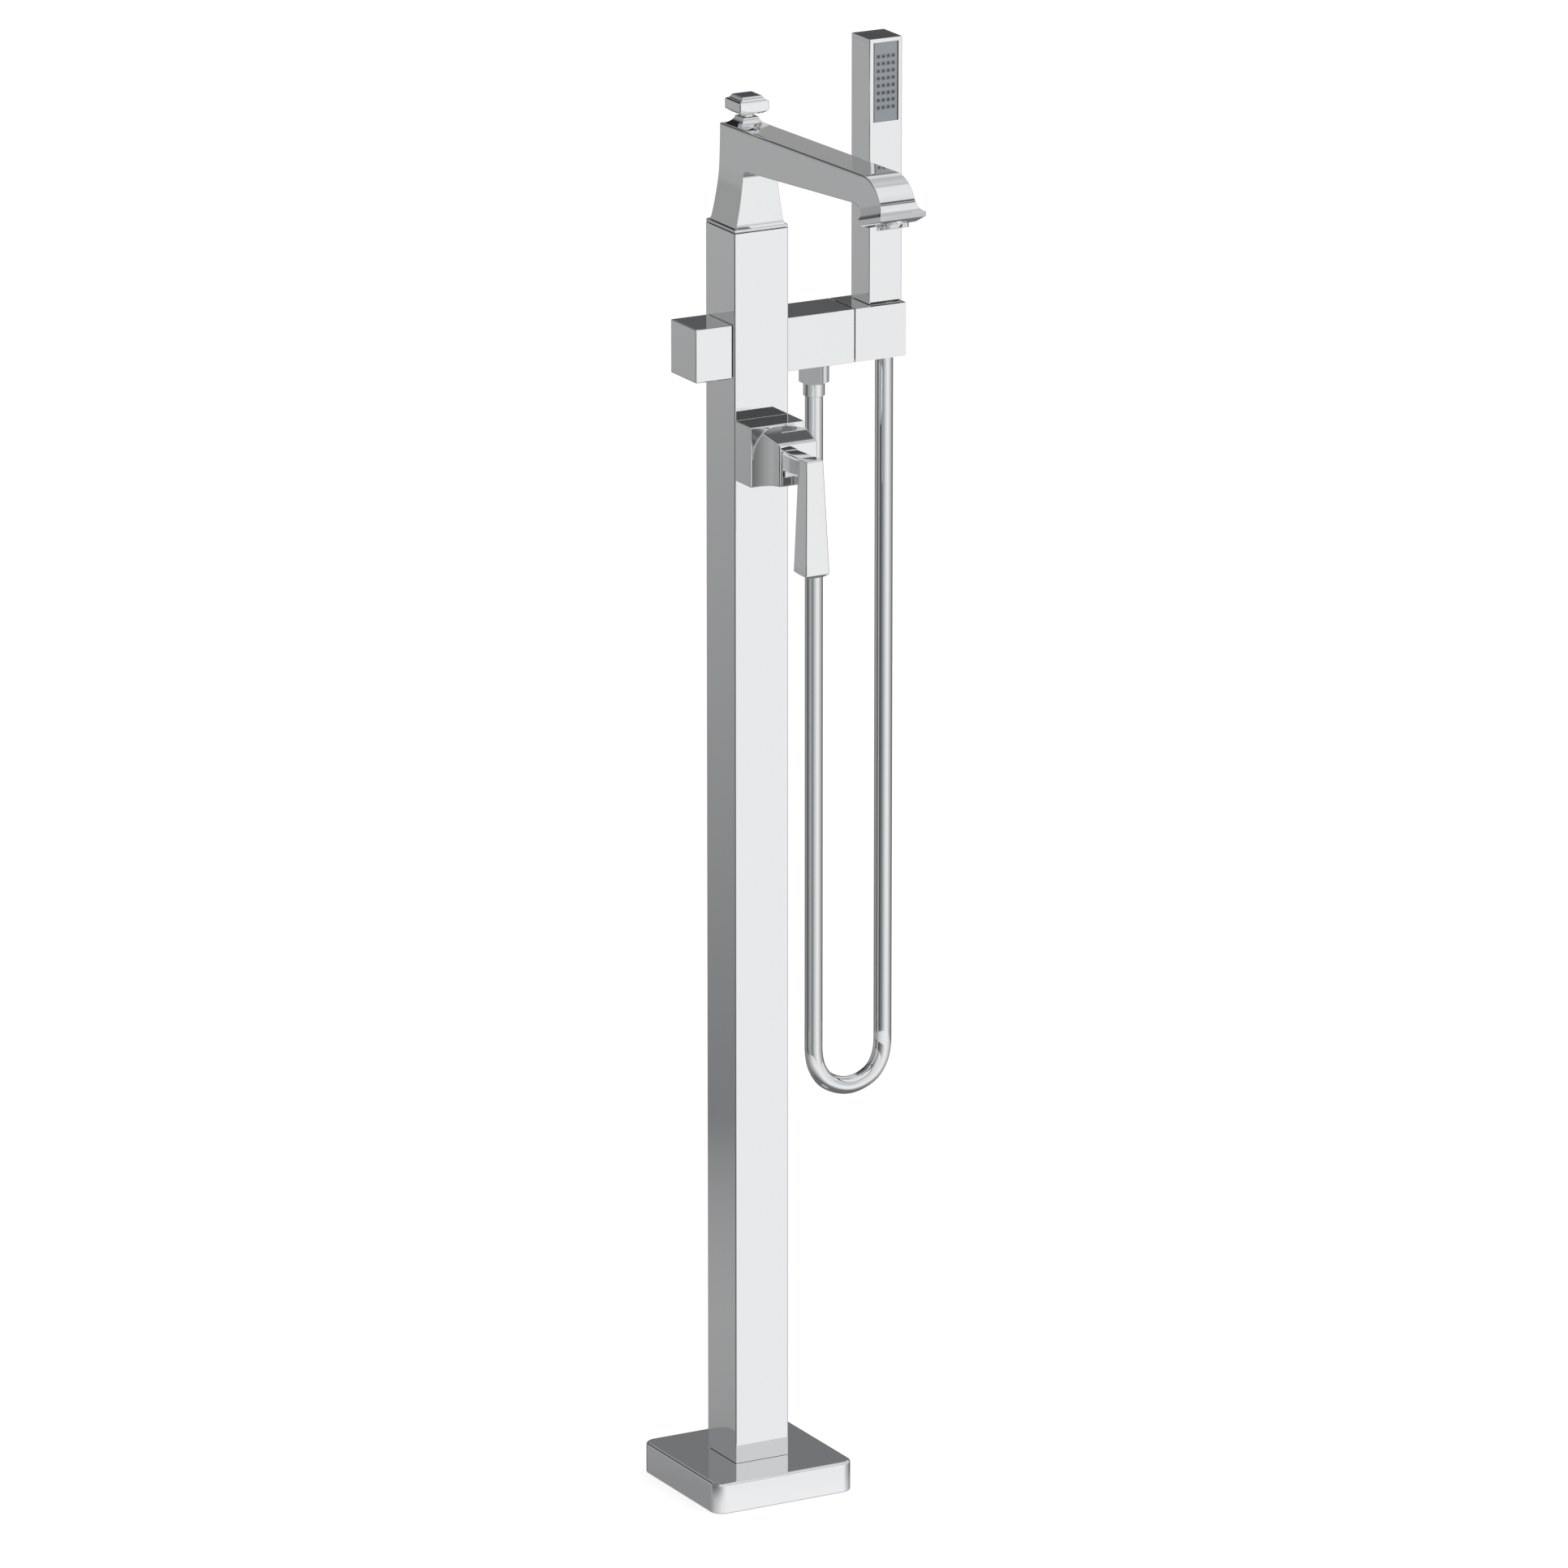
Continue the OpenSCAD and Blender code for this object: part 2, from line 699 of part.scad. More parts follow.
module hose_nut() {
    color(chrome) difference() {
        translate([outlet_x, 0, nut_bottom]) rotate([0, 0, 30])
            cylinder(d = nut_af / cos(30), h = nut_h, $fn = 6);
        round_z(nipple_d + 2 * fixed_gap, nut_bottom + 0.2, nut_top + cut, outlet_x);
        round_z(nipple_bore_d, nut_bottom - cut, nut_top + cut, outlet_x);
    }
}

module hose_ferrule() {
    color(chrome) ring_z(ferrule_d, nipple_bore_d, hose_start_z, nut_bottom, outlet_x);
}

// Rings of points along the route, joined into one closed tube
module shower_hose() {
    last = len(hose_route) - 1;
    path = concat([for (i = [0:last - 1], k = [0:hose_steps - 1]) route_at(hose_route, i, k / hose_steps)],
        [hose_route[last]]);
    n = len(path);
    tangents = [for (i = [0:n - 1]) unit(path[min(i + 1, n - 1)] - path[max(i - 1, 0)])];
    points = [for (i = [0:n - 1], s = [0:hose_sides - 1])
        let (side = unit(cross([0, 1, 0], tangents[i])), up = cross(tangents[i], side))
        path[i] + hose_d / 2 * (cos(360 * s / hose_sides) * side + sin(360 * s / hose_sides) * up)];
    walls = [for (i = [0:n - 2], s = [0:hose_sides - 1], t = [0, 1])
        let (a = i * hose_sides + s, b = i * hose_sides + (s + 1) % hose_sides)
        t == 0 ? [a, b, b + hose_sides] : [a, b + hose_sides, a + hose_sides]];
    ends = [[for (s = [0:hose_sides - 1]) hose_sides - 1 - s],
        [for (s = [0:hose_sides - 1]) (n - 1) * hose_sides + s]];
    color(steel) polyhedron(points, concat(walls, ends));
}

module shutoff_knob() {
    color(chrome) difference() {
        union() {
            difference() {
                block(knob_x0, knob_x1, -bar_d / 2, bar_d / 2, bar_z - bar_h / 2, bar_z + bar_h / 2);
                block(knob_x0 + knob_wall, knob_x1 + cut, -bar_d / 2 + knob_wall,
                    bar_d / 2 - knob_wall, bar_z - bar_h / 2 + knob_wall,
                    bar_z + bar_h / 2 - knob_wall);
            }
            round_x(shutoff_d + 8, knob_x0 + knob_wall - cut, knob_x1 - 8, z = bar_z);
        }
        round_x(shutoff_d + 2 * fixed_gap, knob_x0 + knob_wall, knob_x1 + cut, z = bar_z);
    }
}

module shutoff_spindle() {
    color(brass) round_x(shutoff_d, knob_x0 + knob_wall, -6, z = bar_z);
}

// Shower holder

module holder_block() {
    color(chrome) difference() {
        block(holder_x0, holder_x1, -bar_d / 2, bar_d / 2, bar_z - bar_h / 2, holder_top);
        round_x(holder_shaft_d + 2 * fixed_gap, holder_x0 - cut, shaft_x1, z = bar_z);
        round_z(holder_bore_d, bar_z - bar_h, holder_top + cut, hose_end_x, hose_end_y);
        round_z(slot_d, bar_z - bar_h, bar_z - 6, hose_end_x, hose_end_y - slot_front);
        round_z(slot_d, bar_z - bar_h, bar_z - 6, hose_end_x, hose_end_y + slot_back);
        block(hose_end_x - slot_d / 2, hose_end_x + slot_d / 2, hose_end_y - slot_front,
            hose_end_y + slot_back, bar_z - bar_h, bar_z - 6);
    }
}

module holder_shaft() {
    color(steel) round_x(holder_shaft_d, shaft_x0, shaft_x1, z = bar_z);
}

module holder_lock_nut() {
    color(steel) difference() {
        round_x(holder_shaft_d + 8, arm_x1 - arm_end - 0.1 - lock_nut_w, arm_x1 - arm_end - 0.1,
            z = bar_z);
        round_x(holder_shaft_d + 2 * fixed_gap, 0, arm_x1, z = bar_z);
    }
}

module holder_friction_washer() {
    color(rubber_grey) difference() {
        round_x(washer_d, arm_x1, holder_x0, z = bar_z);
        round_x(holder_shaft_d + 2 * run_gap, 0, holder_x1, z = bar_z);
    }
}

// Hand shower

module shower_shell() {
    color(chrome) difference() {
        block(stick_x1 - stick_w, stick_x1, stick_y - stick_d / 2, stick_y + stick_d / 2,
            stick_bottom, shell_top);
        block(stick_x - inner_w / 2, stick_x + inner_w / 2, stick_y - inner_d / 2,
            stick_y + inner_d / 2, stick_bottom - cut, shell_top + cut);
        block(stick_x - panel_w / 2, stick_x + panel_w / 2, panel_y - cut, stick_y,
            panel_bottom, panel_top);
    }
}

module shower_top() {
    color(chrome) difference() {
        block(stick_x1 - stick_w, stick_x1, stick_y - stick_d / 2, stick_y + stick_d / 2,
            shell_top, stick_top);
        block(stick_x - panel_w / 2, stick_x + panel_w / 2, panel_y - cut, panel_y + panel_t,
            panel_bottom, panel_top);
    }
}

// Every nozzle of the grid, as a square of a given width
module nozzle_grid(w, y0, y1) {
    for (i = [0:nozzle_cols - 1], k = [0:nozzle_rows - 1]) {
        x = stick_x + (i - (nozzle_cols - 1) / 2) * nozzle_dx;
        z = (panel_top + panel_bottom) / 2 + (k - (nozzle_rows - 1) / 2) * nozzle_dz;
        block(x - w / 2, x + w / 2, y0, y1, z - w / 2, z + w / 2);
    }
}

module spray_plate() {
    color(panel_grey) difference() {
        block(stick_x - panel_w / 2, stick_x + panel_w / 2, panel_y + 0.4, panel_y + panel_t,
            panel_bottom, panel_top);
        nozzle_grid(nozzle_w, panel_y - cut, panel_y + panel_t + cut);
    }
}

module spray_nozzles() {
    color(rubber_grey) nozzle_grid(nozzle_w, panel_y + 0.4 - nozzle_out, panel_y + panel_t);
}

module shower_waterway() {
    color(plastic_white) difference() {
        union() {
            round_z(waterway_d, stick_bottom + foot_h, panel_bottom + cut, stick_x, stick_y);
            block(stick_x - inner_w / 2, stick_x + inner_w / 2, panel_y + panel_t,
                panel_y + panel_t + chamber_box_d, panel_bottom, shell_top);
        }
        round_z(waterway_d - 4, stick_bottom, panel_bottom + 4, stick_x, stick_y);
        block(stick_x - panel_w / 2 + 1, stick_x + panel_w / 2 - 1, panel_y,
            panel_y + panel_t + chamber_box_d - 2, panel_bottom + 3, shell_top - 3);
    }
}

module shower_foot() {
    color(brass) difference() {
        block(stick_x - inner_w / 2, stick_x + inner_w / 2, stick_y - inner_d / 2,
            stick_y + inner_d / 2, stick_bottom, stick_bottom + foot_h);
        round_z(cone_neck_d + 2 * fixed_gap, 0, stick_bottom + cone_neck_h, hose_end_x, hose_end_y);
        round_z(water_d, 0, stick_top, hose_end_x, hose_end_y);
        round_z(water_d, stick_bottom + 4, stick_top, stick_x, stick_y);
    }
}

module hose_cone() {
    color(chrome) difference() {
        union() {
            translate([hose_end_x, hose_end_y, hose_end_z])
                cylinder(d1 = cone_bottom_d, d2 = cone_top_d, h = stick_bottom - hose_end_z);
            round_z(cone_neck_d, stick_bottom - cut, stick_bottom + cone_neck_h - 0.3,
                hose_end_x, hose_end_y);
        }
        round_z(water_d, 0, stick_top, hose_end_x, hose_end_y);
    }
}

// Mixer handle

// Half width of the bonnet's hollowed sides, from the back edge at 0 to the front face at 1
function bonnet_half(back, t) = bonnet_face_w / 2 + (back - bonnet_face_w / 2) * pow(1 - t, 1.5);
// One hollowed side as [half width, distance from the valve cover] points, with a small bevel
function bonnet_side(back) = concat([for (i = [0:12]) [bonnet_half(back, i / 12),
    (bonnet_len - 1) * i / 12]], [[bonnet_face_w / 2 - 0.8, bonnet_len]]);

// Two hollowed sides that face each other, along the bonnet's length
module bonnet_outline(side_a, side_b) {
    last = len(side_a) - 1;
    polygon(concat([for (p = side_a) [p[0], cover_y - p[1]]],
        [for (i = [last:-1:0]) [-side_b[i][0], cover_y - side_b[i][1]]]));
}

// The dish: wide at its mouth, narrow at its floor, with a straight cavity behind it
module dish_outline(half) {
    polygon([[half, bonnet_front - cut], [half, bonnet_front],
        [cavity_w / 2, bonnet_front + dish_depth], [cavity_w / 2, bonnet_front + cavity_depth],
        [-cavity_w / 2, bonnet_front + cavity_depth], [-cavity_w / 2, bonnet_front + dish_depth],
        [-half, bonnet_front], [-half, bonnet_front - cut]]);
}

// Sets an outline drawn as [sideways, y] upright, so that its width runs along X or along Z
module seen_from_above() {
    translate([0, 0, valve_z - bonnet_w]) linear_extrude(2 * bonnet_w) children();
}
module seen_from_side() {
    translate([-bonnet_w, 0, valve_z]) rotate([0, 90, 0]) linear_extrude(2 * bonnet_w) children();
}

module valve_bonnet() {
    wide = bonnet_side(bonnet_w / 2);
    high = bonnet_side(bonnet_arch_d / 2 + 1);
    low = bonnet_side(cover_h / 2);
    color(chrome) difference() {
        intersection() {
            seen_from_above() bonnet_outline(wide, wide);
            seen_from_side() bonnet_outline(low, high);
            union() {
                block(-bonnet_w, bonnet_w, bonnet_front - cut, cover_y, valve_z - bonnet_w, valve_z);
                // The round top of the back edge, which widens towards the front
                translate([0, cover_y, valve_z]) rotate([90, 0, 0])
                    cylinder(d1 = bonnet_arch_d, d2 = bonnet_arch_d + 2 * arch_grow,
                        h = bonnet_len + cut, $fn = 96);
            }
        }
        intersection() {
            seen_from_above() dish_outline(dish_w / 2);
            seen_from_side() dish_outline(dish_h / 2);
            translate([0, bonnet_front + cavity_depth, valve_z]) rotate([90, 0, 0])
                cylinder(d1 = cavity_w, d2 = dish_w * 1.26, h = cavity_depth);
        }
        round_y(spindle_d + 2 * fixed_gap, bonnet_front + cavity_depth - cut, 0, z = valve_z);
        round_z(bonnet_screw_d + 2 * fixed_gap, valve_z - bonnet_w, valve_z, 0, bonnet_screw_y);
    }
}

module bonnet_set_screw() {
    top = valve_z - spindle_d / 2 - 0.1;
    color(steel) round_z(bonnet_screw_d, top - bonnet_screw_len, top, 0, bonnet_screw_y);
}

// The fixed fork of the joystick: two arms hold the upright pin of the cross
module joystick_fork() {
    inner = cross_w / 2 + cross_gap;
    color(steel) difference() {
        union() {
            round_y(spindle_d, fork_back, -25, z = valve_z);
            block(-2.8, 2.8, fork_back, fork_back + fork_base, valve_z - inner - arm_t,
                valve_z + inner + arm_t);
            for (s = [-1, 1]) {
                z0 = min(s * inner, s * (inner + arm_t));
                block(-2.8, 2.8, pivot_y, fork_back + cut, valve_z + z0, valve_z + z0 + arm_t);
                round_z(5.6, valve_z + z0, valve_z + z0 + arm_t, 0, pivot_y);
            }
        }
        round_z(pin_d + 2 * run_gap, valve_z - 20, valve_z + 20, 0, pivot_y);
    }
}

module joystick_cross() {
    long = cross_w / 2 + cross_gap;
    color(steel) {
        block(-cross_w / 2, cross_w / 2, pivot_y - cross_w / 2, pivot_y + cross_w / 2,
            valve_z - cross_w / 2, valve_z + cross_w / 2);
        round_x(pin_d, -long - ear_t, long + ear_t, pivot_y, valve_z);
        round_z(pin_d, valve_z - long - arm_t, valve_z + long + arm_t, 0, pivot_y);
    }
}

module lever() {
    inner = cross_w / 2 + cross_gap;
    color(chrome) difference() {
        union() {
            // The hanging blade, wider at the bottom, with a low pyramid under it
            intersection() {
                along_y(lever_front_bottom - 1, lever_back_bottom + 1) translate([0, valve_z])
                    polygon([[lever_w_top / 2, lever_up], [lever_w_bottom / 2, -lever_down],
                        [lever_w_bottom / 2 - 4, -lever_down - lever_tip],
                        [-lever_w_bottom / 2 + 4, -lever_down - lever_tip],
                        [-lever_w_bottom / 2, -lever_down], [-lever_w_top / 2, lever_up]]);
                along_x(-lever_w_bottom, lever_w_bottom) translate([0, valve_z])
                    polygon([[lever_front_top, lever_up], [lever_front_bottom, -lever_down],
                        [lever_front_bottom + 4, -lever_down - lever_tip],
                        [lever_back_bottom - 4, -lever_down - lever_tip],
                        [lever_back_bottom, -lever_down], [lever_back_top, lever_up]]);
            }
            // The square neck, which narrows towards the blade
            intersection() {
                seen_from_above() polygon([[neck_w / 2, neck_back],
                    [lever_w_top / 2, lever_back_top - 4], [-lever_w_top / 2, lever_back_top - 4],
                    [-neck_w / 2, neck_back]]);
                along_x(-neck_w, neck_w) translate([0, valve_z])
                    polygon([[neck_back, -neck_w / 2], [neck_back, neck_w / 2],
                        [lever_back_top - 4, lever_up - 0.4], [lever_back_top - 4, -neck_w / 2 + 1]]);
            }
            // Two ears hold the level pin of the cross
            for (s = [-1, 1]) {
                x0 = min(s * inner, s * (inner + ear_t));
                block(x0, x0 + ear_t, neck_back - cut, pivot_y, valve_z - 2.8, valve_z + 2.8);
                round_x(5.6, x0, x0 + ear_t, pivot_y, valve_z);
            }
        }
        round_x(pin_d + 2 * run_gap, -20, 20, pivot_y, valve_z);
    }
}

// Spout

module spout_bead() {
    color(chrome) difference() {
        hull() {
            square_z(col_w - 1.6, bead_z0, bead_z1);
            square_z(col_w - 0.5, bead_z0 + 0.35, bead_z1 - 0.35);
            square_z(col_w, bead_z0 + 1, bead_z1 - 1);
        }
        square_z(spigot_w + 2 * slide_gap, bead_z0 - cut, bead_z1 + cut);
    }
}

// The spout seen from the side, as [y, z] points: leg, arm, hood and flared lip
module spout_side() {
    steps = 16;
    arm_y = reach - 15;
    corner = [leg_front - arch_r, under_at(-leg_front + arch_r) - arch_r];
    back = [lip_mid_y + lip_d / 2 * cos(lip_tilt), lip_mid_z - lip_d / 2 * sin(lip_tilt)];
    up = [lip_t * sin(lip_tilt), lip_t * cos(lip_tilt)];
    front = [lip_front_y, lip_front_z];
    polygon(concat(
        [[leg_front - 1.9, bead_z1], [leg_front - 0.8, bead_z1 + cove_h / 2],
            [leg_front, bead_z1 + cove_h]],
        arc(corner, arch_r, 0, 90, 8),
        [[-arm_y, under_at(arm_y)], back + up + [4, 8.6], back + up + [1.2, 6.4],
            back + up + [-0.2, 3.4], back + up, back, front, front + up,
            front + up + [2.9, 0.7], front + up + [5.4, 2.2]],
        arc([-reach, hood_z], hood_r, 90 + flare_deg, 90, 14),
        [for (i = [steps:-1:0]) let (h = cove_h + (top_at(-17.2) - bead_z1 - cove_h) * i / steps)
            [back_at(h), bead_z1 + h]],
        [[leg_back + 0.8, bead_z1 + cove_h / 2], [leg_back + 1.9, bead_z1]]));
}

// The leg's flare seen from the front. Its upper end is inside the spout's straight width
module leg_flare() {
    steps = 14;
    right = [for (i = [0:steps - 1]) let (h = cove_h + (leg_flare_h - cove_h) * i / steps)
        [leg_half(h), bead_z1 + h]];
    outline = concat([[leg_w / 2 + 1.9 + cut, bead_z1 - cut], [leg_w / 2 + 0.8, bead_z1 + cove_h / 2]],
        right, [[spout_w / 2 - 0.6, bead_z1 + leg_flare_h + 6]]);
    polygon(concat(outline, [for (i = [len(outline) - 1:-1:0]) [-outline[i][0], outline[i][1]]]));
}

// The lip and its flare in the outlet's own frame. The upper end is inside the straight width
module lip_flare() {
    outline = [[lip_w / 2, -1], [lip_w / 2, lip_t + 0.2], [lip_w / 2 - 1.4, lip_t + 1.2],
        [lip_w / 2 - 2.9, lip_t + 3], [spout_w / 2 + 0.8, lip_t + 6.2],
        [spout_w / 2 - 0.5, lip_t + 14]];
    polygon(concat(outline, [for (i = [len(outline) - 1:-1:0]) [-outline[i][0], outline[i][1]]]));
}

// Puts what is drawn around the outlet's axis, with the lip's lower face at height 0, in place
module at_outlet() {
    translate([0, lip_mid_y, lip_mid_z]) rotate([-lip_tilt, 0, 0]) children();
}

module spout_body() {
    color(chrome) difference() {
        union() {
            intersection() {
                along_x(-lip_w, lip_w) spout_side();
                union() {
                    block(-spout_w / 2, spout_w / 2, -reach - 2 * hood_r, leg_w, bead_z1 - 2,
                        top_z0 + hood_r);
                    along_y(-60, leg_w + 5) leg_flare();
                    at_outlet() along_y(-lip_d * 2, lip_d * 2) lip_flare();
                }
            }
            // The shallow hopper under the lip
            at_outlet() intersection() {
                along_x(-lip_w / 2, lip_w / 2) hopper(lip_d / 2 - 1.2);
                along_y(-lip_d / 2, lip_d / 2) hopper(lip_w / 2 - 1.2);
            }
            square_z(spigot_w, col_top - spigot_h, bead_z1 + cut);
        }
        round_z(diverter_bore_d, col_top - spigot_h - cut, under_z0 + 20);
        round_z(rod_d + 2, under_z0, top_z0 + 20);
        along_x(-arm_bore_w / 2, arm_bore_w / 2) arm_bore_side();
        at_outlet() round_z(outlet_bore_d, -hopper_h - cut, 14);
        round_y(set_screw_d + 2 * fixed_gap, diverter_bore_d / 2 - cut, col_w,
            z = col_top - spigot_h / 2);
    }
}

// The water's way through the arm, seen from the side
module arm_bore_side() {
    back = rod_d / 2 + 4;
    polygon([[-back, under_at(back) + 6], [-reach + 16, under_at(reach - 16) + 5],
        [-reach - 6, hood_z + 7], [-reach - 15.5, hood_z + 9], [-reach - 15.5, hood_z + 20],
        [-reach + 10, top_at(reach - 10) - 7], [-back, top_at(back) - 6]]);
}

module hopper(half) {
    polygon([[half, 1], [half, 0.2], [aerator_d / 2 + 1, -hopper_h],
        [-aerator_d / 2 - 1, -hopper_h], [-half, 0.2], [-half, 1]]);
}

module spout_set_screw() {
    color(steel) round_y(set_screw_d, diverter_bore_d / 2 + 0.4, col_w / 2,
        z = col_top - spigot_h / 2);
}

module diverter_seat() {
    foot = col_top - spigot_h;
    color(brass) difference() {
        round_z(seat_d, foot, seat_top);
        round_z(pipe_hole_d, foot - cut, foot + pipe_grip);
        round_z(port_d, foot, seat_top);
        round_z(piston_d + 3, rod_bottom - 0.3, seat_top + cut);
    }
}

module aerator_washer() {
    color(rubber_grey) at_outlet() ring_z(outlet_bore_d - 1, outlet_bore_d - 6,
        aerator_neck_h - hopper_h, aerator_neck_h - hopper_h + 1.5);
}

module aerator_housing() {
    low = -hopper_h - aerator_out;
    color(chrome) at_outlet() difference() {
        union() {
            round_z(aerator_d, low, -hopper_h);
            round_z(aerator_neck_d, low, aerator_neck_h - hopper_h);
        }
        round_z(aerator_d - 5.2, low - cut, aerator_neck_h);
        for (i = [0:aerator_teeth - 1]) rotate([0, 0, 360 * i / aerator_teeth]) {
            block(aerator_d / 2 - 1, aerator_d, -1.6, 1.6, low - cut, -hopper_h - 1);
        }
    }
}

module aerator_insert() {
    color(plastic_white) at_outlet() difference() {
        round_z(aerator_d - 5.2 - 2 * fixed_gap, -hopper_h - aerator_out + 0.8,
            -hopper_h - aerator_out + 0.8 + insert_h);
        for (i = [0:11]) rotate([0, 0, 30 * i]) {
            round_z(1.8, -20, 20, 7);
            if (i % 2 == 0) round_z(1.8, -20, 20, 3.6);
        }
    }
}

// Lift knob

// Half of a flared outline, doubled into a symmetric one
module mirrored(points) {
    polygon(concat(points, [for (i = [len(points) - 1:-1:0]) [-points[i][0], points[i][1]]]));
}

module pedestal_side() {
    low = top_z0 - 1;
    steps = 8;
    mirrored(concat([[pedestal_w / 2, low]], [for (i = [0:steps])
        [pedestal_top_w / 2 + (pedestal_w - pedestal_top_w) / 2 * pow(1 - i / steps, 2),
            low + 1 + (pedestal_top - low - 1) * i / steps]]));
}

module knob_pedestal() {
    w = pedestal_w;
    color(chrome) difference() {
        intersection() {
            along_x(-pedestal_w, pedestal_w) pedestal_side();
            along_y(-pedestal_w, pedestal_w) pedestal_side();
        }
        // The foot follows the slope of the spout's top
        along_x(-w, w) polygon([[-w, top_at(w) + seat_gap], [w, top_at(-w) + seat_gap],
            [w, top_z0 - w], [-w, top_z0 - w]]);
        round_z(guide_d, top_z0 - 20, pedestal_top + cut);
    }
}

module cap_side() {
    z1 = cap_z0 + cap_band;
    mirrored([[cap_w / 2 - 3.5, cap_z0 - cap_under], [cap_w / 2 - 1.2, cap_z0 - 0.6],
        [cap_w / 2, cap_z0], [cap_w / 2, z1], [cap_w / 2 - 1.6, z1 + 0.7],
        [cap_top_w / 2 + 1.6, z1 + 0.9], [cap_top_w / 2, z1 + cap_crown]]);
}

module lift_knob_cap() {
    color(chrome) difference() {
        union() {
            intersection() {
                along_x(-cap_w, cap_w) cap_side();
                along_y(-cap_w, cap_w) cap_side();
            }
            round_z(cap_neck_d, pedestal_top + 0.3, cap_z0);
        }
        round_z(rod_d + 2 * fixed_gap, 0, cap_z0 + cap_band - 2);
    }
}

module lift_rod() {
    color(steel) round_z(rod_d, rod_bottom + 2, cap_z0 + cap_band - 2);
}

module diverter_piston() {
    color(brass) difference() {
        round_z(piston_d, rod_bottom, rod_bottom + piston_h);
        difference() {
            round_z(piston_d + 2, rod_bottom + 4, rod_bottom + 7);
            round_z(piston_d - 4, rod_bottom + 3, rod_bottom + 8);
        }
        round_z(rod_d + 2 * fixed_gap, rod_bottom + 2, rod_bottom + 2 * piston_h);
    }
}

module piston_seal() {
    color(rubber_grey) ring_z(piston_d + 1.6, piston_d - 4, rod_bottom + 4, rod_bottom + 7);
}

floor_flange();
base_cover();
column_tube();
column_set_screws();
inlet_unions();
hot_supply_pipe();
cold_supply_pipe();
valve_body();
valve_cover();
cartridge();
cartridge_nut();
lower_riser_pipe();
manifold();
upper_riser_pipe();
crossbar_arm();
arm_water_pipe();
outlet_elbow();
hose_nipple();
hose_washer();
hose_nut();
hose_ferrule();
shower_hose();
spout_bead();
spout_body();
spout_set_screw();
diverter_seat();
knob_pedestal();
aerator_washer();
aerator_insert();
aerator_housing();
lift_knob_cap();
lift_rod();
diverter_piston();
piston_seal();
shutoff_knob();
shutoff_spindle();
holder_block();
holder_shaft();
holder_lock_nut();
holder_friction_washer();
shower_shell();
shower_top();
spray_plate();
spray_nozzles();
shower_waterway();
shower_foot();
hose_cone();
valve_bonnet();
bonnet_set_screw();
joystick_fork();
joystick_cross();
lever();
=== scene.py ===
"""Floor standing bath filler: the visual model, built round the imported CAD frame.

The CAD model keeps its place and its moving bodies. This script gives every CAD node its real
material and rounded edges, and replaces the curved castings, the hose and the nozzles with
finer meshes. Lengths are in metres, in the CAD model's frame: X right, -Y front, Z up.
"""

from __future__ import annotations

import json
import logging
import math
from dataclasses import dataclass, field
from enum import Enum
from typing import ClassVar, Mapping, Sequence

import bmesh
import bpy
from mathutils import Matrix, Vector

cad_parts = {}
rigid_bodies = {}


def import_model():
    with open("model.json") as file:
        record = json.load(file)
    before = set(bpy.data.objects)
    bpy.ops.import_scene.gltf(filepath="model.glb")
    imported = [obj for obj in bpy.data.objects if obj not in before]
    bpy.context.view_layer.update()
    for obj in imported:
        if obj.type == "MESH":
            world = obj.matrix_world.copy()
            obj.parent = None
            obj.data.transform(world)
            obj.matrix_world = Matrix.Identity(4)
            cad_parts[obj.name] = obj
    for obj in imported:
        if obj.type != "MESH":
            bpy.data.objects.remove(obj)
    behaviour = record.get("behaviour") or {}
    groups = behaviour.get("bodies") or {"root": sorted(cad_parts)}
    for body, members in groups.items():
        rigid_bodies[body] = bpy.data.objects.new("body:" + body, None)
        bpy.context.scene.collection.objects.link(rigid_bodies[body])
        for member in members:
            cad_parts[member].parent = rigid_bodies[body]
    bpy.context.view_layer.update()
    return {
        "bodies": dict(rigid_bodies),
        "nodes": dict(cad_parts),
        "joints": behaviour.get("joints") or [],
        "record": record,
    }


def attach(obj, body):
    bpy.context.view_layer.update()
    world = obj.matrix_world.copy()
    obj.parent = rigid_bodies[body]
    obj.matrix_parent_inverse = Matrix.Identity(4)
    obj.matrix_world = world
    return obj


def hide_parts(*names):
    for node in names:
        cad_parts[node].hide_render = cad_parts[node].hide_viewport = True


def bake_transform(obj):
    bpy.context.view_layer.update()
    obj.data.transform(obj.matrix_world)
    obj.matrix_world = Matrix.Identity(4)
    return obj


LOG = logging.getLogger("bath_filler")
MM = 0.001

Point = tuple[float, float, float]
Flat = tuple[float, float]
Colour = tuple[float, float, float, float]
Greys = Sequence[tuple[float, int]]
Loop = list[bmesh.types.BMEdge]
Mesh = bmesh.types.BMesh
Piece = bpy.types.Object
Tree = bpy.types.NodeTree
Socket = bpy.types.NodeSocket


class Slot(str, Enum):
    """The record's material slots."""

    CHROME = "chrome"
    STEEL = "steel"
    BRASS = "brass"
    COPPER = "copper"
    RUBBER = "rubber"
    NOZZLE = "nozzle_rubber"
    WHITE = "white_plastic"
    PANEL = "panel_plastic"
    HOSE = "hose_skin"


# Colours and shader nodes


def linear(hex_colour: str) -> Colour:
    """Turns an sRGB colour such as "#c0c2c4" into linear RGBA."""
    values = [int(hex_colour[i : i + 2], 16) / 255 for i in (1, 3, 5)]
    out = [v / 12.92 if v <= 0.04045 else ((v + 0.055) / 1.055) ** 2.4 for v in values]
    return (out[0], out[1], out[2], 1.0)


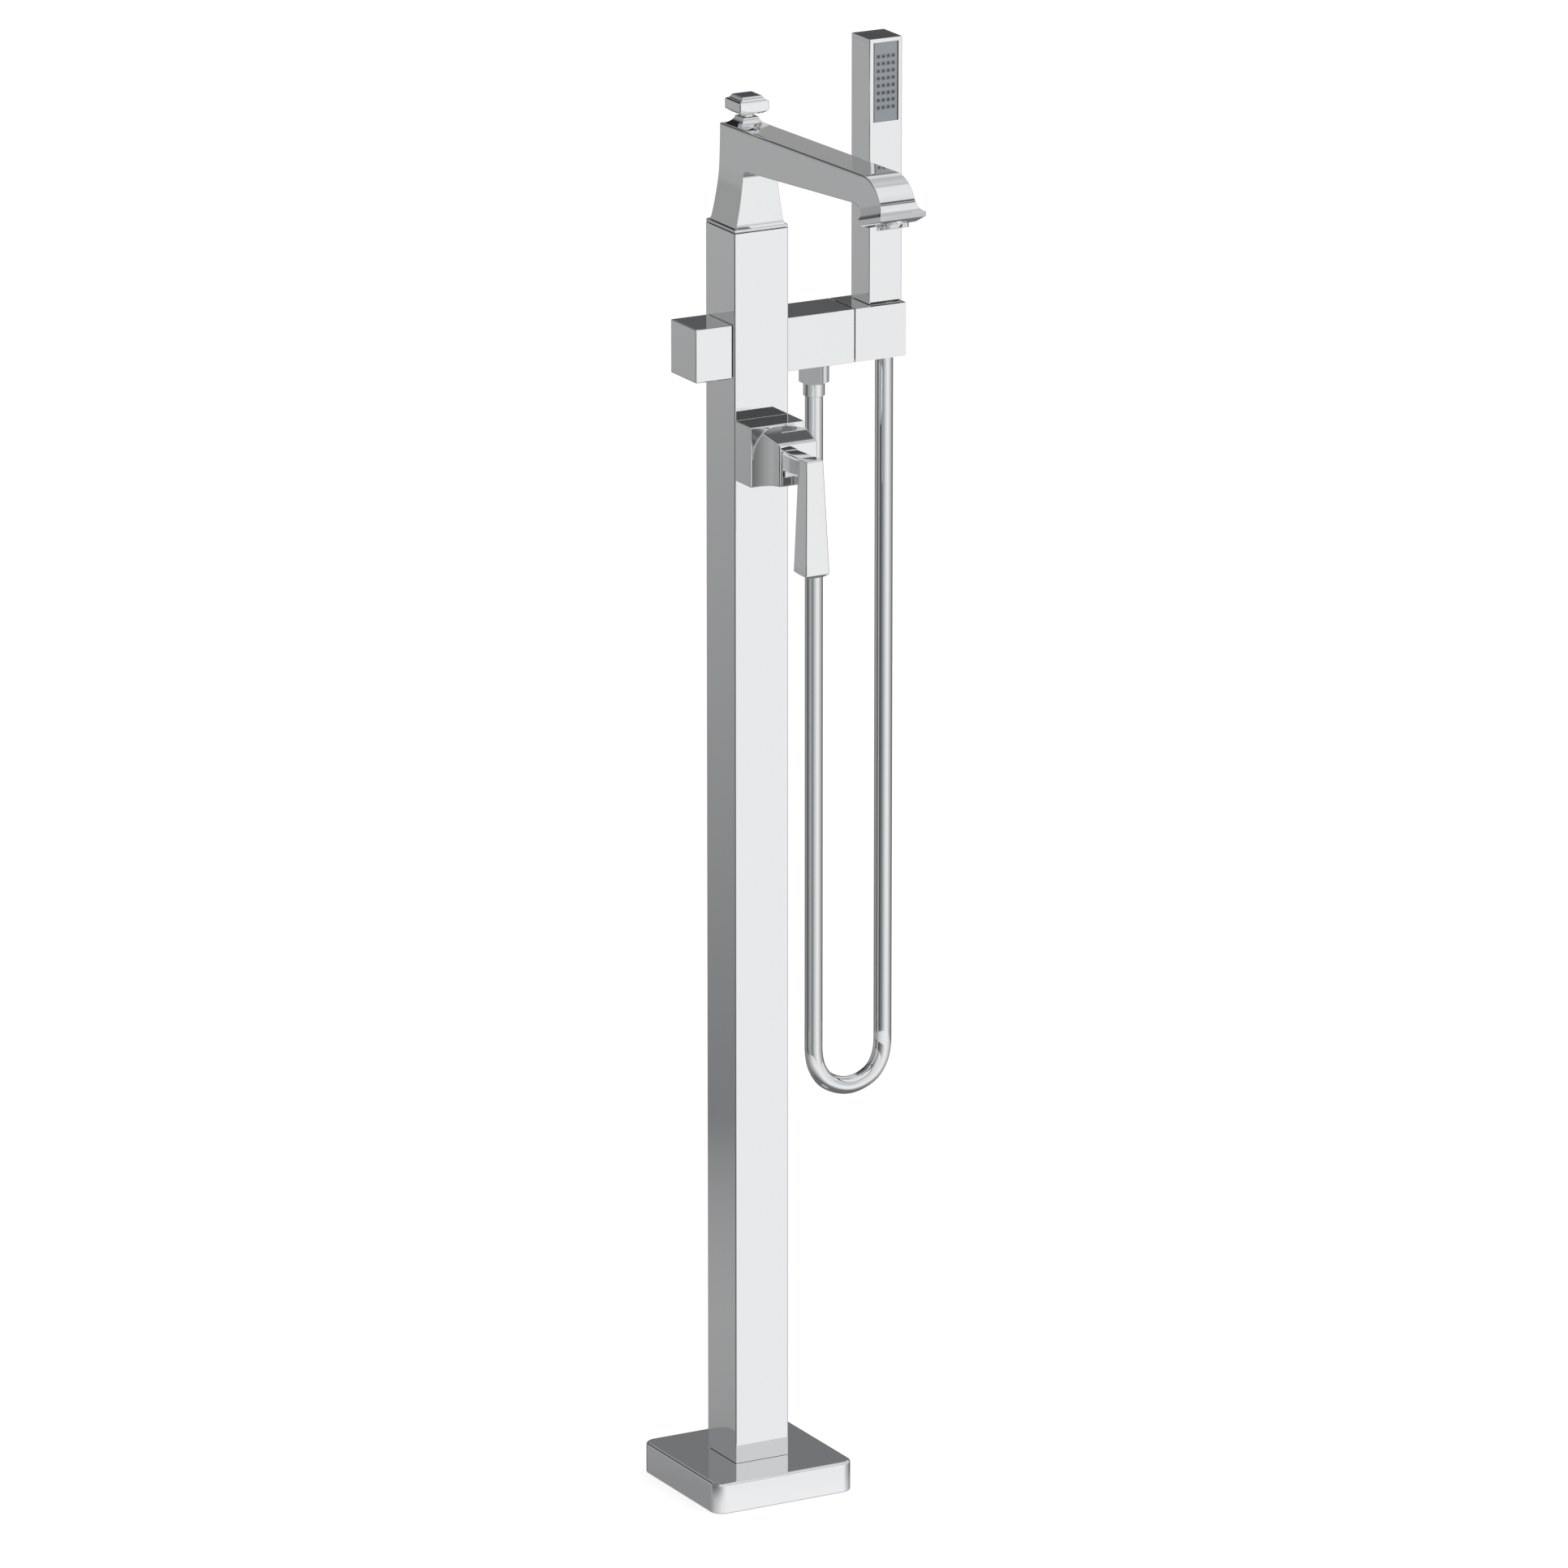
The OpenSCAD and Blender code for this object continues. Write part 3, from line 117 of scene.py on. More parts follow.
def add_node(
    tree: Tree,
    kind: str,
    inputs: Mapping[str | int, object] | None = None,
    **settings: object,
) -> bpy.types.Node:
    """Adds one shader node.

    Args:
        tree: the node tree that gets it.
        kind: the node's type name.
        inputs: values for its inputs by name or number. A socket is linked, anything else is set.
        settings: the node's own properties.

    Returns:
        The new node.
    """
    node = tree.nodes.new(kind)
    for name, value in settings.items():
        setattr(node, name, value)
    for key, value in (inputs or {}).items():
        socket = node.inputs[key]
        if isinstance(value, Socket):
            tree.links.new(value, socket)
        else:
            socket.default_value = value
    return node


def ramp(tree: Tree, factor: Socket, stops: Sequence[tuple[float, Colour]]) -> Socket:
    """A colour ramp through the given (position, linear colour) stops."""
    node = add_node(tree, "ShaderNodeValToRGB", {"Fac": factor})
    elements = node.color_ramp.elements
    while len(elements) < len(stops):
        elements.new(0.5)
    for element, (position, colour) in zip(elements, stops):
        element.position = position
        element.color = colour
    return node.outputs["Color"]


# Finishes


@dataclass(frozen=True)
class Finish:
    """A surface of one real material.

    Attributes:
        name: the material's name.
        colour: its sRGB base colour.
        roughness: lowest and highest roughness over the surface.
        metallic: 1 for bare metal, 0 otherwise.
        grain_mm: size of the fine grain.
        relief_um: height of the fine grain in micrometres.
        patch_mm: size of the larger patches in which gloss and colour vary.
        shade: a second sRGB colour in those patches, or None for an even colour.
        stretch: scales of the grain along X, Y and Z, where it was turned or drawn.
    """

    name: str
    colour: str
    roughness: tuple[float, float]
    metallic: float = 1.0
    grain_mm: float = 0.8
    relief_um: float = 4.0
    patch_mm: float = 45.0
    shade: str | None = None
    stretch: Point = (1.0, 1.0, 1.0)

    def build(self) -> bpy.types.Material:
        """Makes the material with its base colour, uneven roughness and fine relief."""
        material = bpy.data.materials.new(self.name)
        material.use_nodes = True
        tree = material.node_tree
        tree.nodes.clear()
        place = add_node(tree, "ShaderNodeTexCoord").outputs["Object"]
        patches = self.noise(tree, place, self.patch_mm, 2.0)
        grain = self.noise(tree, self.grain_place(tree, place), self.grain_mm, 3.0)
        both = add_node(
            tree, "ShaderNodeMath", {0: patches, 1: grain, 2: 0.25}, operation="MULTIPLY_ADD"
        ).outputs[0]
        low, high = self.roughness
        span = {"From Min": 0.3, "From Max": 0.75, "To Min": low, "To Max": high}
        rough = add_node(tree, "ShaderNodeMapRange", {"Value": both, **span}).outputs[0]
        shader = add_node(
            tree,
            "ShaderNodeBsdfPrincipled",
            {"Base Color": linear(self.colour), "Metallic": self.metallic, "Roughness": rough},
        )
        if self.shade:
            mixed = ramp(tree, patches, [(0.3, linear(self.shade)), (0.7, linear(self.colour))])
            tree.links.new(mixed, shader.inputs["Base Color"])
        self.add_relief(tree, place, grain, shader)
        out = add_node(tree, "ShaderNodeOutputMaterial")
        tree.links.new(shader.outputs[0], out.inputs["Surface"])
        return material

    def noise(self, tree: Tree, place: Socket, size_mm: float, detail: float) -> Socket:
        """Noise whose blobs are about size_mm across."""
        inputs = {"Vector": place, "Scale": 1.0 / (size_mm * MM), "Detail": detail}
        return add_node(tree, "ShaderNodeTexNoise", inputs).outputs[0]

    def grain_place(self, tree: Tree, place: Socket) -> Socket:
        """The place, stretched where the surface was brushed or drawn in one direction."""
        if self.stretch == (1.0, 1.0, 1.0):
            return place
        return add_node(
            tree, "ShaderNodeMapping", {"Vector": place, "Scale": self.stretch}
        ).outputs[0]

    def add_relief(self, tree: Tree, place: Socket, grain: Socket, shader: bpy.types.Node) -> None:
        """Adds the fine relief to the shader's normal."""
        tree.links.new(self.bump(tree, grain, self.relief_um), shader.inputs["Normal"])

    def bump(self, tree: Tree, height: Socket, height_um: float, **under: Socket) -> Socket:
        """The normal of a relief, on top of the one under it if there is one."""
        inputs = {"Strength": 1.0, "Distance": height_um * 1e-6, "Height": height, **under}
        return add_node(tree, "ShaderNodeBump", inputs).outputs[0]


@dataclass(frozen=True)
class Plated(Finish):
    """Nickel and chrome plate on polished metal: a mirror with a very faint waviness.

    Attributes:
        wave_mm: length of the waves that polishing leaves.
        wave_um: their height in micrometres.
    """

    wave_mm: float = 26.0
    wave_um: float = 2.0

    def add_relief(self, tree: Tree, place: Socket, grain: Socket, shader: bpy.types.Node) -> None:
        """Adds polishing waves under the fine grain."""
        wave = self.bump(tree, self.noise(tree, place, self.wave_mm, 1.0), self.wave_um)
        fine = self.bump(tree, grain, self.relief_um, Normal=wave)
        tree.links.new(fine, shader.inputs["Normal"])


# Grain sizes are drawn a little coarser than the real ones where these are too fine to show.
FINISHES: Mapping[Slot, Finish] = {
    # Nickel and chrome on polished brass: a cool mirror. Its waves bend straight reflections.
    Slot.CHROME: Plated("chrome_plate", "#f3f4f5", (0.018, 0.045), grain_mm=0.35, relief_um=0.02),
    # Turned stainless steel: fine rings spread its highlights round the axis.
    Slot.STEEL: Finish(
        "turned_steel", "#b4b6b8", (0.22, 0.38), grain_mm=0.5, relief_um=3.0, stretch=(1, 1, 6)
    ),
    # Sand cast brass, left raw: warm and matt, with browner patches.
    Slot.BRASS: Finish(
        "cast_brass", "#c9a55a", (0.3, 0.5), grain_mm=1.1, relief_um=14.0, shade="#b8924a"
    ),
    # Drawn copper tube: a soft gloss, darker where it has tarnished.
    Slot.COPPER: Finish(
        "drawn_copper", "#c8805a", (0.2, 0.36), grain_mm=0.6, relief_um=3.0, shade="#b06a48"
    ),
    # Moulded nitrile rubber: nearly black, matt, with a dusty grain.
    Slot.RUBBER: Finish("sealing_rubber", "#2a2c2e", (0.55, 0.75), 0.0, 0.4, 12.0, shade="#222426"),
    # Moulded silicone: dark grey and matt, slightly mottled by lime.
    Slot.NOZZLE: Finish("nozzle_silicone", "#5d6266", (0.5, 0.65), 0.0, 0.3, 6.0, shade="#54595d"),
    # Moulded acetal: white with a waxy gloss.
    Slot.WHITE: Finish("white_acetal", "#e4e6e3", (0.35, 0.5), 0.0, 0.5, 6.0, shade="#dbddd9"),
    # Moulded ABS from a spark-eroded mould: satin grey with an even fine grain.
    Slot.PANEL: Finish("satin_grey_abs", "#878c90", (0.42, 0.55), 0.0, 0.25, 7.0, shade="#82878b"),
    # Metallised foil under a clear smooth skin: a mirror with long soft waves.
    Slot.HOSE: Plated(
        "smooth_metallised_hose", "#eff1f3", (0.04, 0.07), grain_mm=0.4, relief_um=0.02,
        wave_mm=60.0, wave_um=3.0,
    ),
}


class Palette:
    """Builds each finish once and hands it out by slot."""

    def __init__(self) -> None:
        """Starts without any material."""
        self.made: dict[Slot, bpy.types.Material] = {}

    def get(self, slot: Slot) -> bpy.types.Material:
        """The material of a slot."""
        if slot not in self.made:
            self.made[slot] = FINISHES[slot].build()
        return self.made[slot]


# Meshes


def keep_flat(piece: Piece, weight: int) -> None:
    """Lets large faces rule the shading, so that they look flat beside rounded edges.

    Args:
        piece: the piece that gets the modifier.
        weight: how much a face's area counts, from 1 to 100.
    """
    normal = piece.modifiers.new("face_normals", "WEIGHTED_NORMAL")
    normal.keep_sharp = True
    normal.weight = weight


@dataclass
class Edges:
    """How a piece's sharp edges are broken.

    Attributes:
        radius_mm: width of the broken edge.
        segments: facets across it.
        from_degrees: edges sharper than this are broken.
        flatten: whether triangles in one plane are first joined into one face.
    """

    radius_mm: float = 0.5
    segments: int = 3
    from_degrees: float = 38.0
    flatten: bool = False

    def soften(self, piece: Piece, weld: bool = False) -> None:
        """Adds the modifiers that round the edges and keep flat faces flat."""
        if weld:
            join = piece.modifiers.new("weld", "WELD")
            join.merge_threshold = 2e-6
        if self.flatten:
            plain = piece.modifiers.new("flat_faces", "DECIMATE")
            plain.decimate_type = "DISSOLVE"
            plain.angle_limit = math.radians(0.4)
        bevel = piece.modifiers.new("broken_edges", "BEVEL")
        bevel.width = self.radius_mm * MM
        bevel.segments = self.segments
        bevel.limit_method = "ANGLE"
        bevel.angle_limit = math.radians(self.from_degrees)
        bevel.use_clamp_overlap = True
        bevel.harden_normals = False
        bevel.miter_outer = "MITER_ARC"
        keep_flat(piece, 80)


@dataclass
class Builder:
    """Makes mesh pieces and places them on a body.

    Attributes:
        palette: the finishes.
    """

    palette: Palette

    def piece(
        self,
        name: str,
        mesh: Mesh,
        slot: Slot = Slot.CHROME,
        body: str | None = "stand",
        edges: Edges | None = None,
        smooth_degrees: float = 34.0,
        flat: int = 0,
    ) -> Piece:
        """Turns a bmesh into a piece of the object.

        Args:
            name: the piece's name.
            mesh: its shape. It is freed.
            slot: its material slot.
            body: the CAD body that it moves with, or None to leave it on no body.
            edges: how its edges are broken, if they are.
            smooth_degrees: edges flatter than this are shaded smooth.
            flat: how much large faces rule the shading, or 0 where they don't.

        Returns:
            The object.
        """
        bmesh.ops.remove_doubles(mesh, verts=mesh.verts, dist=1e-6)
        bmesh.ops.recalc_face_normals(mesh, faces=mesh.faces)
        data = bpy.data.meshes.new(name)
        LOG.info("%s: %d faces, %s", name, len(mesh.faces), slot.value)
        mesh.to_mesh(data)
        mesh.free()
        piece = bpy.data.objects.new(name, data)
        bpy.context.scene.collection.objects.link(piece)
        data.materials.append(self.palette.get(slot))
        for polygon in data.polygons:
            polygon.use_smooth = True
        data.set_sharp_from_angle(angle=math.radians(smooth_degrees))
        if edges:
            edges.soften(piece)
        if body:
            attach(piece, body)
        if flat:
            keep_flat(piece, flat)
        return piece


def bridge(mesh: Mesh, loops: Sequence[Loop], start: bool = True, end: bool = True) -> None:
    """Skins a row of closed edge loops.

    Args:
        mesh: the mesh that holds the loops.
        loops: the loops in their order.
        start: whether the first loop is closed with a face.
        end: whether the last loop is closed with a face.
    """
    for lower, upper in zip(loops, loops[1:]):
        bmesh.ops.bridge_loops(mesh, edges=lower + upper)
    if start:
        bmesh.ops.edgeloop_fill(mesh, edges=loops[0])
    if end:
        bmesh.ops.edgeloop_fill(mesh, edges=loops[-1])


def outline(mesh: Mesh, points: Sequence[Vector]) -> Loop:
    """A closed edge loop through points in millimetres."""
    verts = [mesh.verts.new(point * MM) for point in points]
    return [mesh.edges.new((a, b)) for a, b in zip(verts, verts[1:] + verts[:1])]


def rounded_square(
    mesh: Mesh,
    half: float | Flat,
    radius: float,
    height: float,
    steps: int = 6,
    centre: Flat = (0.0, 0.0),
) -> Loop:
    """A level square or rectangular loop with round corners.

    Args:
        mesh: the mesh that gets it.
        half: half its width in millimetres, or half its size along X and Y.
        radius: its corners' radius.
        height: its place along Z.
        steps: segments in each corner.
        centre: its middle.

    Returns:
        Its edges.
    """
    half_x, half_y = half if isinstance(half, tuple) else (half, half)
    place = Matrix.Translation(Vector((*centre, height)) * MM)
    place = place @ Matrix.Diagonal((half_x, half_y, 1.0, 1.0))
    made = bmesh.ops.create_grid(mesh, x_segments=1, y_segments=1, size=MM, matrix=place)
    made = bmesh.ops.bevel(
        mesh,
        geom=made["verts"],
        offset=radius * MM,
        offset_type="OFFSET",
        segments=steps,
        profile=0.5,
        affect="VERTICES",
        material=-1,
    )
    face = max(made["verts"][0].link_faces, key=lambda f: len(f.verts))
    loop = list(face.edges)
    bmesh.ops.delete(mesh, geom=[face], context="FACES_ONLY")
    return loop


def circle(mesh: Mesh, radius: float, place: Matrix | float, count: int = 48) -> Loop:
    """A round loop.

    Args:
        mesh: the mesh that gets it.
        radius: its radius in millimetres.
        place: its matrix, or its height in millimetres for a level loop on the Z axis.
        count: its segments.

    Returns:
        Its edges.
    """
    if not isinstance(place, Matrix):
        place = Matrix.Translation((0.0, 0.0, place * MM))
    made = bmesh.ops.create_circle(mesh, segments=count, radius=radius * MM, matrix=place)
    edges = (edge for vert in made["verts"] for edge in vert.link_edges)
    return list(dict.fromkeys(edges))


def catmull(points: Sequence[Sequence[float]], index: int, t: float) -> tuple[float, ...]:
    """A point between points[index] and the next one on the smooth curve through all of them."""
    last = len(points) - 1
    p0, p1 = points[max(index - 1, 0)], points[index]
    p2, p3 = points[index + 1], points[min(index + 2, last)]
    return tuple(
        0.5
        * (
            2 * b
            + (c - a) * t
            + (2 * a - 5 * b + 4 * c - d) * t * t
            + (3 * b - a - 3 * c + d) * t * t * t
        )
        for a, b, c, d in zip(p0, p1, p2, p3)
    )


def smooth_through(points: Sequence[Sequence[float]], steps: int) -> list[tuple[float, ...]]:
    """The smooth curve through the points, with steps new points in each stretch."""
    out = [catmull(points, i, k / steps) for i in range(len(points) - 1) for k in range(steps)]
    return out + [tuple(points[-1])]


# Assemblies


@dataclass
class Camera:
    """The photograph's view: from the front left, a little above.

    Attributes:
        place: where it stands, in metres.
        yaw_degrees: how far it is turned to the right.
        pitch_degrees: how far it looks down.
        lens: its focal length in millimetres.
    """

    place: Point = (-4.588, -8.436, 3.406)
    yaw_degrees: float = 28.72
    pitch_degrees: float = 16.24
    lens: float = 277.9

    def build(self) -> None:
        """Adds the camera and makes it the scene's own."""
        data = bpy.data.cameras.new("camera")
        data.sensor_width = 36.0
        data.lens = self.lens
        data.clip_start, data.clip_end = 0.1, 200.0
        camera = bpy.data.objects.new("camera", data)
        camera.location = self.place
        camera.rotation_euler = (
            math.radians(90 - self.pitch_degrees),
            0.0,
            -math.radians(self.yaw_degrees),
        )
        bpy.context.scene.collection.objects.link(camera)
        bpy.context.scene.camera = camera


@dataclass
class Hose:
    """The shower hose, hanging in a U from the arm to the holder.

    Attributes:
        DIAMETER: its thickness in millimetres.
        sides: facets round it.
        steps: points that the smooth curve gets in each stretch of the route.
        end_radius: radius of its short end, which slides inside the holder.
        end_low: height of that end's lower side.
        end_long: its length.
        end_rings: its stretches.
        route: the points that the CAD model's hose follows.
    """

    DIAMETER: ClassVar[float] = 15.0
    builder: Builder
    sides: int = 48
    steps: int = 8
    end_radius: float = 7.3
    end_low: float = 966.0
    end_long: float = 20.0
    end_rings: int = 24
    route: Sequence[Point] = (
        *((62.5, 0, z) for z in (933, 900, 830, 760, 690, 620, 550, 480, 430, 395, 380)),
        (62.5, -0.5, 366), (65, -1, 354), (71.5, -1.5, 343.5), (82, -2, 337), (94, -2.5, 334.5),
        (106, -3, 337), (116.5, -3.5, 343.5), (123, -4, 354), (125.5, -4.5, 366),
        *((125.5, -5, z) for z in (380, 395, 430, 480, 550, 620, 690, 760, 830, 900, 950, 984)),
    )

    def build(self, ferrule: Piece) -> list[Piece]:
        """Makes the hose and its short end inside the holder."""
        path = [Vector(p) * MM for p in smooth_through(self.route, self.steps)]
        mesh = bmesh.new()
        bridge(mesh, self.tube(mesh, path))
        hose = self.builder.piece("shower_hose_skin", mesh, Slot.HOSE)
        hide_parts("shower_hose")
        return [hose, self.build_end()]

    def tube(self, mesh: Mesh, path: Sequence[Vector]) -> list[Loop]:
        """Round loops along the path. It never runs along Y, so Y sets their start."""
        loops = []
        for i, point in enumerate(path):
            ahead = (path[min(i + 1, len(path) - 1)] - path[max(i - 1, 0)]).normalized()
            side = Vector((0, 1, 0)).cross(ahead).normalized()
            turn = Matrix((side, ahead.cross(side), ahead)).transposed().to_4x4()
            place = Matrix.Translation(point) @ turn
            loops.append(circle(mesh, self.DIAMETER / 2, place, self.sides))
        return loops

    def build_end(self) -> Piece:
        """The hose's last stretch, inside the holder. It is left on no body."""
        mesh = bmesh.new()
        x, y, _ = self.route[-1]
        loops = []
        for i in range(self.end_rings + 1):
            height = self.end_low + self.end_long * i / self.end_rings
            place = Matrix.Translation(Vector((x, y, height)) * MM)
            loops.append(circle(mesh, self.end_radius, place, self.sides))
        bridge(mesh, loops)
        end = self.builder.piece("shower_hose_end", mesh, Slot.HOSE, None)
        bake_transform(end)
        return end


@dataclass
class Spout:
    """The spout's casting: flared leg, arm, hood and flared lip over a shallow hopper.

    Attributes:
        foot: height of the leg's foot, on the bead.
        half: half the casting's width.
        leg_half: half the leg's width at its foot.
        flare_height: how far up its sides are flared.
        ledge: height of the small step at its foot.
        ledge_out: how far that step stands out.
        leg_front: place of its front face.
        leg_back: place of its back face above the flare.
        back_height: how far up its back is flared.
        top_z: height of the arm's top over the column's middle.
        under_z: height of its underside there.
        top_rise: slope of the top in degrees.
        under_rise: slope of the underside.
        arch: radius of the inner corner between leg and arm.
        hood_y: place of the hood's middle.
        hood_r: radius of its round front.
        arm_end: how far behind the hood's middle the arm's straight part ends.
        lip_out: how far the lip's front corner stands out past the hood.
        lip_up: height of that corner above the hood's middle.
        lip_tilt: the lip's slope in degrees.
        lip_depth: its size from front to back.
        lip_half: half its width.
        lip_thick: its thickness.
        lip_flare: how far above the lip its flare starts.
        lip_bow: how much the flare's side bows inwards.
        across: stretches up each side of a section.
        soft_low: radius of the lower edges.
        soft_high: radius of the upper edges, which fades into the hood.
    """

    builder: Builder
    foot: float = 1087.3
    half: float = 16.2
    leg_half: float = 22.4
    flare_height: float = 45.5
    ledge: float = 2.2
    ledge_out: float = 1.9
    leg_front: float = -22.5
    leg_back: float = 17.2
    back_height: float = 78.5
    top_z: float = 1167.9
    under_z: float = 1133.3
    top_rise: float = 1.3
    under_rise: float = 3.9
    arch: float = 8.0
    hood_y: float = -222.5
    hood_r: float = 32.0
    arm_end: float = 15.0
    lip_out: float = 6.6
    lip_up: float = 2.9
    lip_tilt: float = 16.4
    lip_depth: float = 40.0
    lip_half: float = 21.0
    lip_thick: float = 3.9
    lip_flare: float = 11.0
    lip_bow: float = 0.992
    across: int = 26
    soft_low: float = 0.6
    soft_high: float = 1.9

    def top_at(self, y: float) -> float:
        """Height of the top face at a distance in front of the middle."""
        return self.top_z - y * math.tan(math.radians(self.top_rise))

    def under_at(self, y: float) -> float:
        """Height of the arm's underside."""
        return self.under_z - y * math.tan(math.radians(self.under_rise))

    def __post_init__(self) -> None:
        """Works out the lip's place: its front corner, and the directions along and across it."""
        self.hood_z = self.top_at(self.hood_y) - self.hood_r
        tilt = math.radians(self.lip_tilt)
        self.lip_front = (self.hood_y - self.hood_r - self.lip_out, self.hood_z + self.lip_up)
        self.along = Vector((math.cos(tilt), -math.sin(tilt)))
        self.up = Vector((math.sin(tilt), math.cos(tilt)))
        self.lip_mid = Vector(self.lip_front) + self.along * self.lip_depth / 2

    def half_at(self, point: Flat) -> float:
        """Half width of the casting at a point of its side outline."""
        y, z = point
        if y > -60:
            left = (self.foot + self.flare_height - z) / self.flare_height
            return self.half + (self.leg_half - self.half) * max(0.0, left) ** 1.6
        rise = (Vector(point) - self.lip_mid).dot(self.up)
        return self.half + self.flare(rise) * (self.lip_half - self.half)

    def flare(self, rise: float) -> float:
        """How far the lip has flared at a height above its lower face, from 0 to 1."""
        if rise <= self.lip_thick:
            return 1.0
        t = min(1.0, (rise - self.lip_thick) / self.lip_flare)
        return (1 - t) ** 2 * (1 - self.lip_bow * t * (1 - t))

    def stations(self) -> list[tuple[Vector, Vector]]:
        """Pairs of points on the inner and the outer side of the bent casting."""
        inner: list[Vector] = []
        outer: list[Vector] = []
        start_z = self.under_at(self.leg_front - self.arch) - self.arch
        for i in range(3):
            z = self.foot + self.ledge * i / 2
            step = self.ledge_out * (1 - i / 2) ** 1.5
            inner.append(Vector((self.leg_front - step, z)))
            outer.append(Vector((self.back_at(z) + step, z)))
        for i in range(1, 25):
            z = self.foot + self.ledge + (start_z - self.foot - self.ledge) * i / 24
            inner.append(Vector((self.leg_front, z)))
            outer.append(Vector((self.back_at(z), z)))
        centre = Vector((self.leg_front - self.arch, start_z))
        corner = Vector((self.leg_back, self.top_at(self.leg_back)))
        steps = 20
        for i in range(1, steps + 1):
            angle = math.radians(90 * i / steps)
            inner.append(centre + self.arch * Vector((math.cos(angle), math.sin(angle))))
            t = i / steps
            if t <= 0.5:
                z = start_z + (corner.y - start_z) * t * 2
                outer.append(Vector((self.back_at(z), z)) if t < 0.5 else corner)
            else:
                y = corner.x + (centre.x - corner.x) * (t - 0.5) * 2
                outer.append(Vector((y, self.top_at(y))))
        end_y = self.hood_y + self.arm_end
        for i in range(1, 31):
            y = centre.x + (end_y - centre.x) * i / 30
            inner.append(Vector((y, self.under_at(y))))
            outer.append(Vector((y, self.top_at(y))))
        return self.hood_stations(inner, outer)

    def hood_stations(
        self, inner: list[Vector], outer: list[Vector]
    ) -> list[tuple[Vector, Vector]]:
        """Adds the hood and the lip, round the front and down to the lip's lower face."""
        front = Vector(self.lip_front)
        back = front + self.along * self.lip_depth
        lift = self.up * self.lip_thick
        hood = Vector((self.hood_y, self.hood_z))
        arc = []
        for i in range(1, 41):
            angle = math.radians(90 + 66 * i / 40)
            arc.append(hood + self.hood_r * Vector((math.cos(angle), math.sin(angle))))
        flare = [front + lift + Vector(step) for step in ((5.2, 2.3), (2.6, 0.75), (0.0, 0.0))]
        sweep = [arc[-2], arc[-1], *flare]
        flare_out = smooth_through(sweep, 8)[9:]
        out_line = [self.lerp(outer[-1], arc[0], k / 4) for k in range(1, 4)] + arc
        out_line += [Vector(p) for p in flare_out]
        end_y = self.hood_y + self.arm_end
        under = Vector((end_y, self.under_at(end_y)))
        curl = [back + lift + Vector(step) for step in ((5.6, 9.6), (1.9, 7.0), (0.2, 3.6))]
        curve = [under, *curl, back + lift]
        in_line = self.spread(smooth_through(curve, 12), len(out_line))
        inner += in_line
        outer += out_line
        for k in range(1, 4):
            inner.append(back + lift * (1 - k / 3))
            outer.append(front + lift * (1 - k / 3))
        return list(zip(inner, outer))

    def back_at(self, z: float) -> float:
        """Distance of the leg's back from the middle."""
        left = max(0.0, self.back_height - (z - self.foot)) / self.back_height
        return self.leg_back + (self.leg_half - self.leg_back) * left**1.3

    @staticmethod
    def lerp(a: Vector, b: Vector, t: float) -> Vector:
        """The point at t between a and b."""
        return a + (b - a) * t

    @staticmethod
    def spread(points: Sequence[Sequence[float]], count: int) -> list[Vector]:
        """The same line with count points at even distances, without its first point."""
        flat = [Vector(p) for p in points]
        total = [0.0]
        for a, b in zip(flat, flat[1:]):
            total.append(total[-1] + (b - a).length)
        out = []
        for k in range(1, count + 1):
            want = total[-1] * k / count
            i = max(j for j in range(len(total) - 1) if total[j] <= want + 1e-9)
            share = (want - total[i]) / max(total[i + 1] - total[i], 1e-9)
            out.append(flat[i] + (flat[i + 1] - flat[i]) * min(share, 1.0))
        return out

    def section(self, mesh: Mesh, inner: Vector, outer: Vector) -> Loop:
        """One cross-section: up the left side from inner to outer and down the right side."""
        length = (outer - inner).length
        low = min(self.soft_low, length / 5)
        # Round the hood's front the upper edges become as fine as the lower ones.
        fade = min(1.0, max(0.0, (outer.x - self.hood_y + 26) / 30))
        high = min(self.soft_low + (self.soft_high - self.soft_low) * fade, length / 5)
        turns = [math.radians(90 * k / 5) for k in range(6)]
        rows = [(low * (1 - math.sin(a)), low * (1 - math.cos(a))) for a in turns]
        span = length - low - high
        rows += [(0.0, low + span * i / self.across) for i in range(1, self.across)]
        rows += [(high * (1 - math.cos(a)), length - high * (1 - math.sin(a))) for a in turns]
        left, right = [], []
        for inset, along in rows:
            p = self.lerp(inner, outer, along / length)
            half = self.half_at(p) - inset
            left.append(Vector((-half, p.x, p.y)))
            right.append(Vector((half, p.x, p.y)))
        return outline(mesh, left + right[::-1])

    def build(self) -> list[Piece]:
        """Makes the casting with the hopper under its lip."""
        mesh = bmesh.new()
        bridge(mesh, [self.section(mesh, a, b) for a, b in self.stations()])
        self.add_hopper(mesh)
        spout = self.builder.piece("spout_casting", mesh, smooth_degrees=40.0, flat=75)
        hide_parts("spout_body")
        return [spout]

    def add_hopper(self, mesh: Mesh) -> None:
        """The shallow pyramid between the lip and the aerator."""
        loops = []
        for low, half_x, half_y in ((-0.3, 19.8, 18.8), (0.2, 19.6, 18.6), (3.0, 14.0, 14.0)):
            corners = []
            for sx, sy in ((1, 1), (-1, 1), (-1, -1), (1, -1)):
                flat = self.lip_mid + self.along * sy * half_y - self.up * low
                corners.append(Vector((sx * half_x, flat.x, flat.y)))
            loops.append(outline(mesh, corners))
        bridge(mesh, loops)


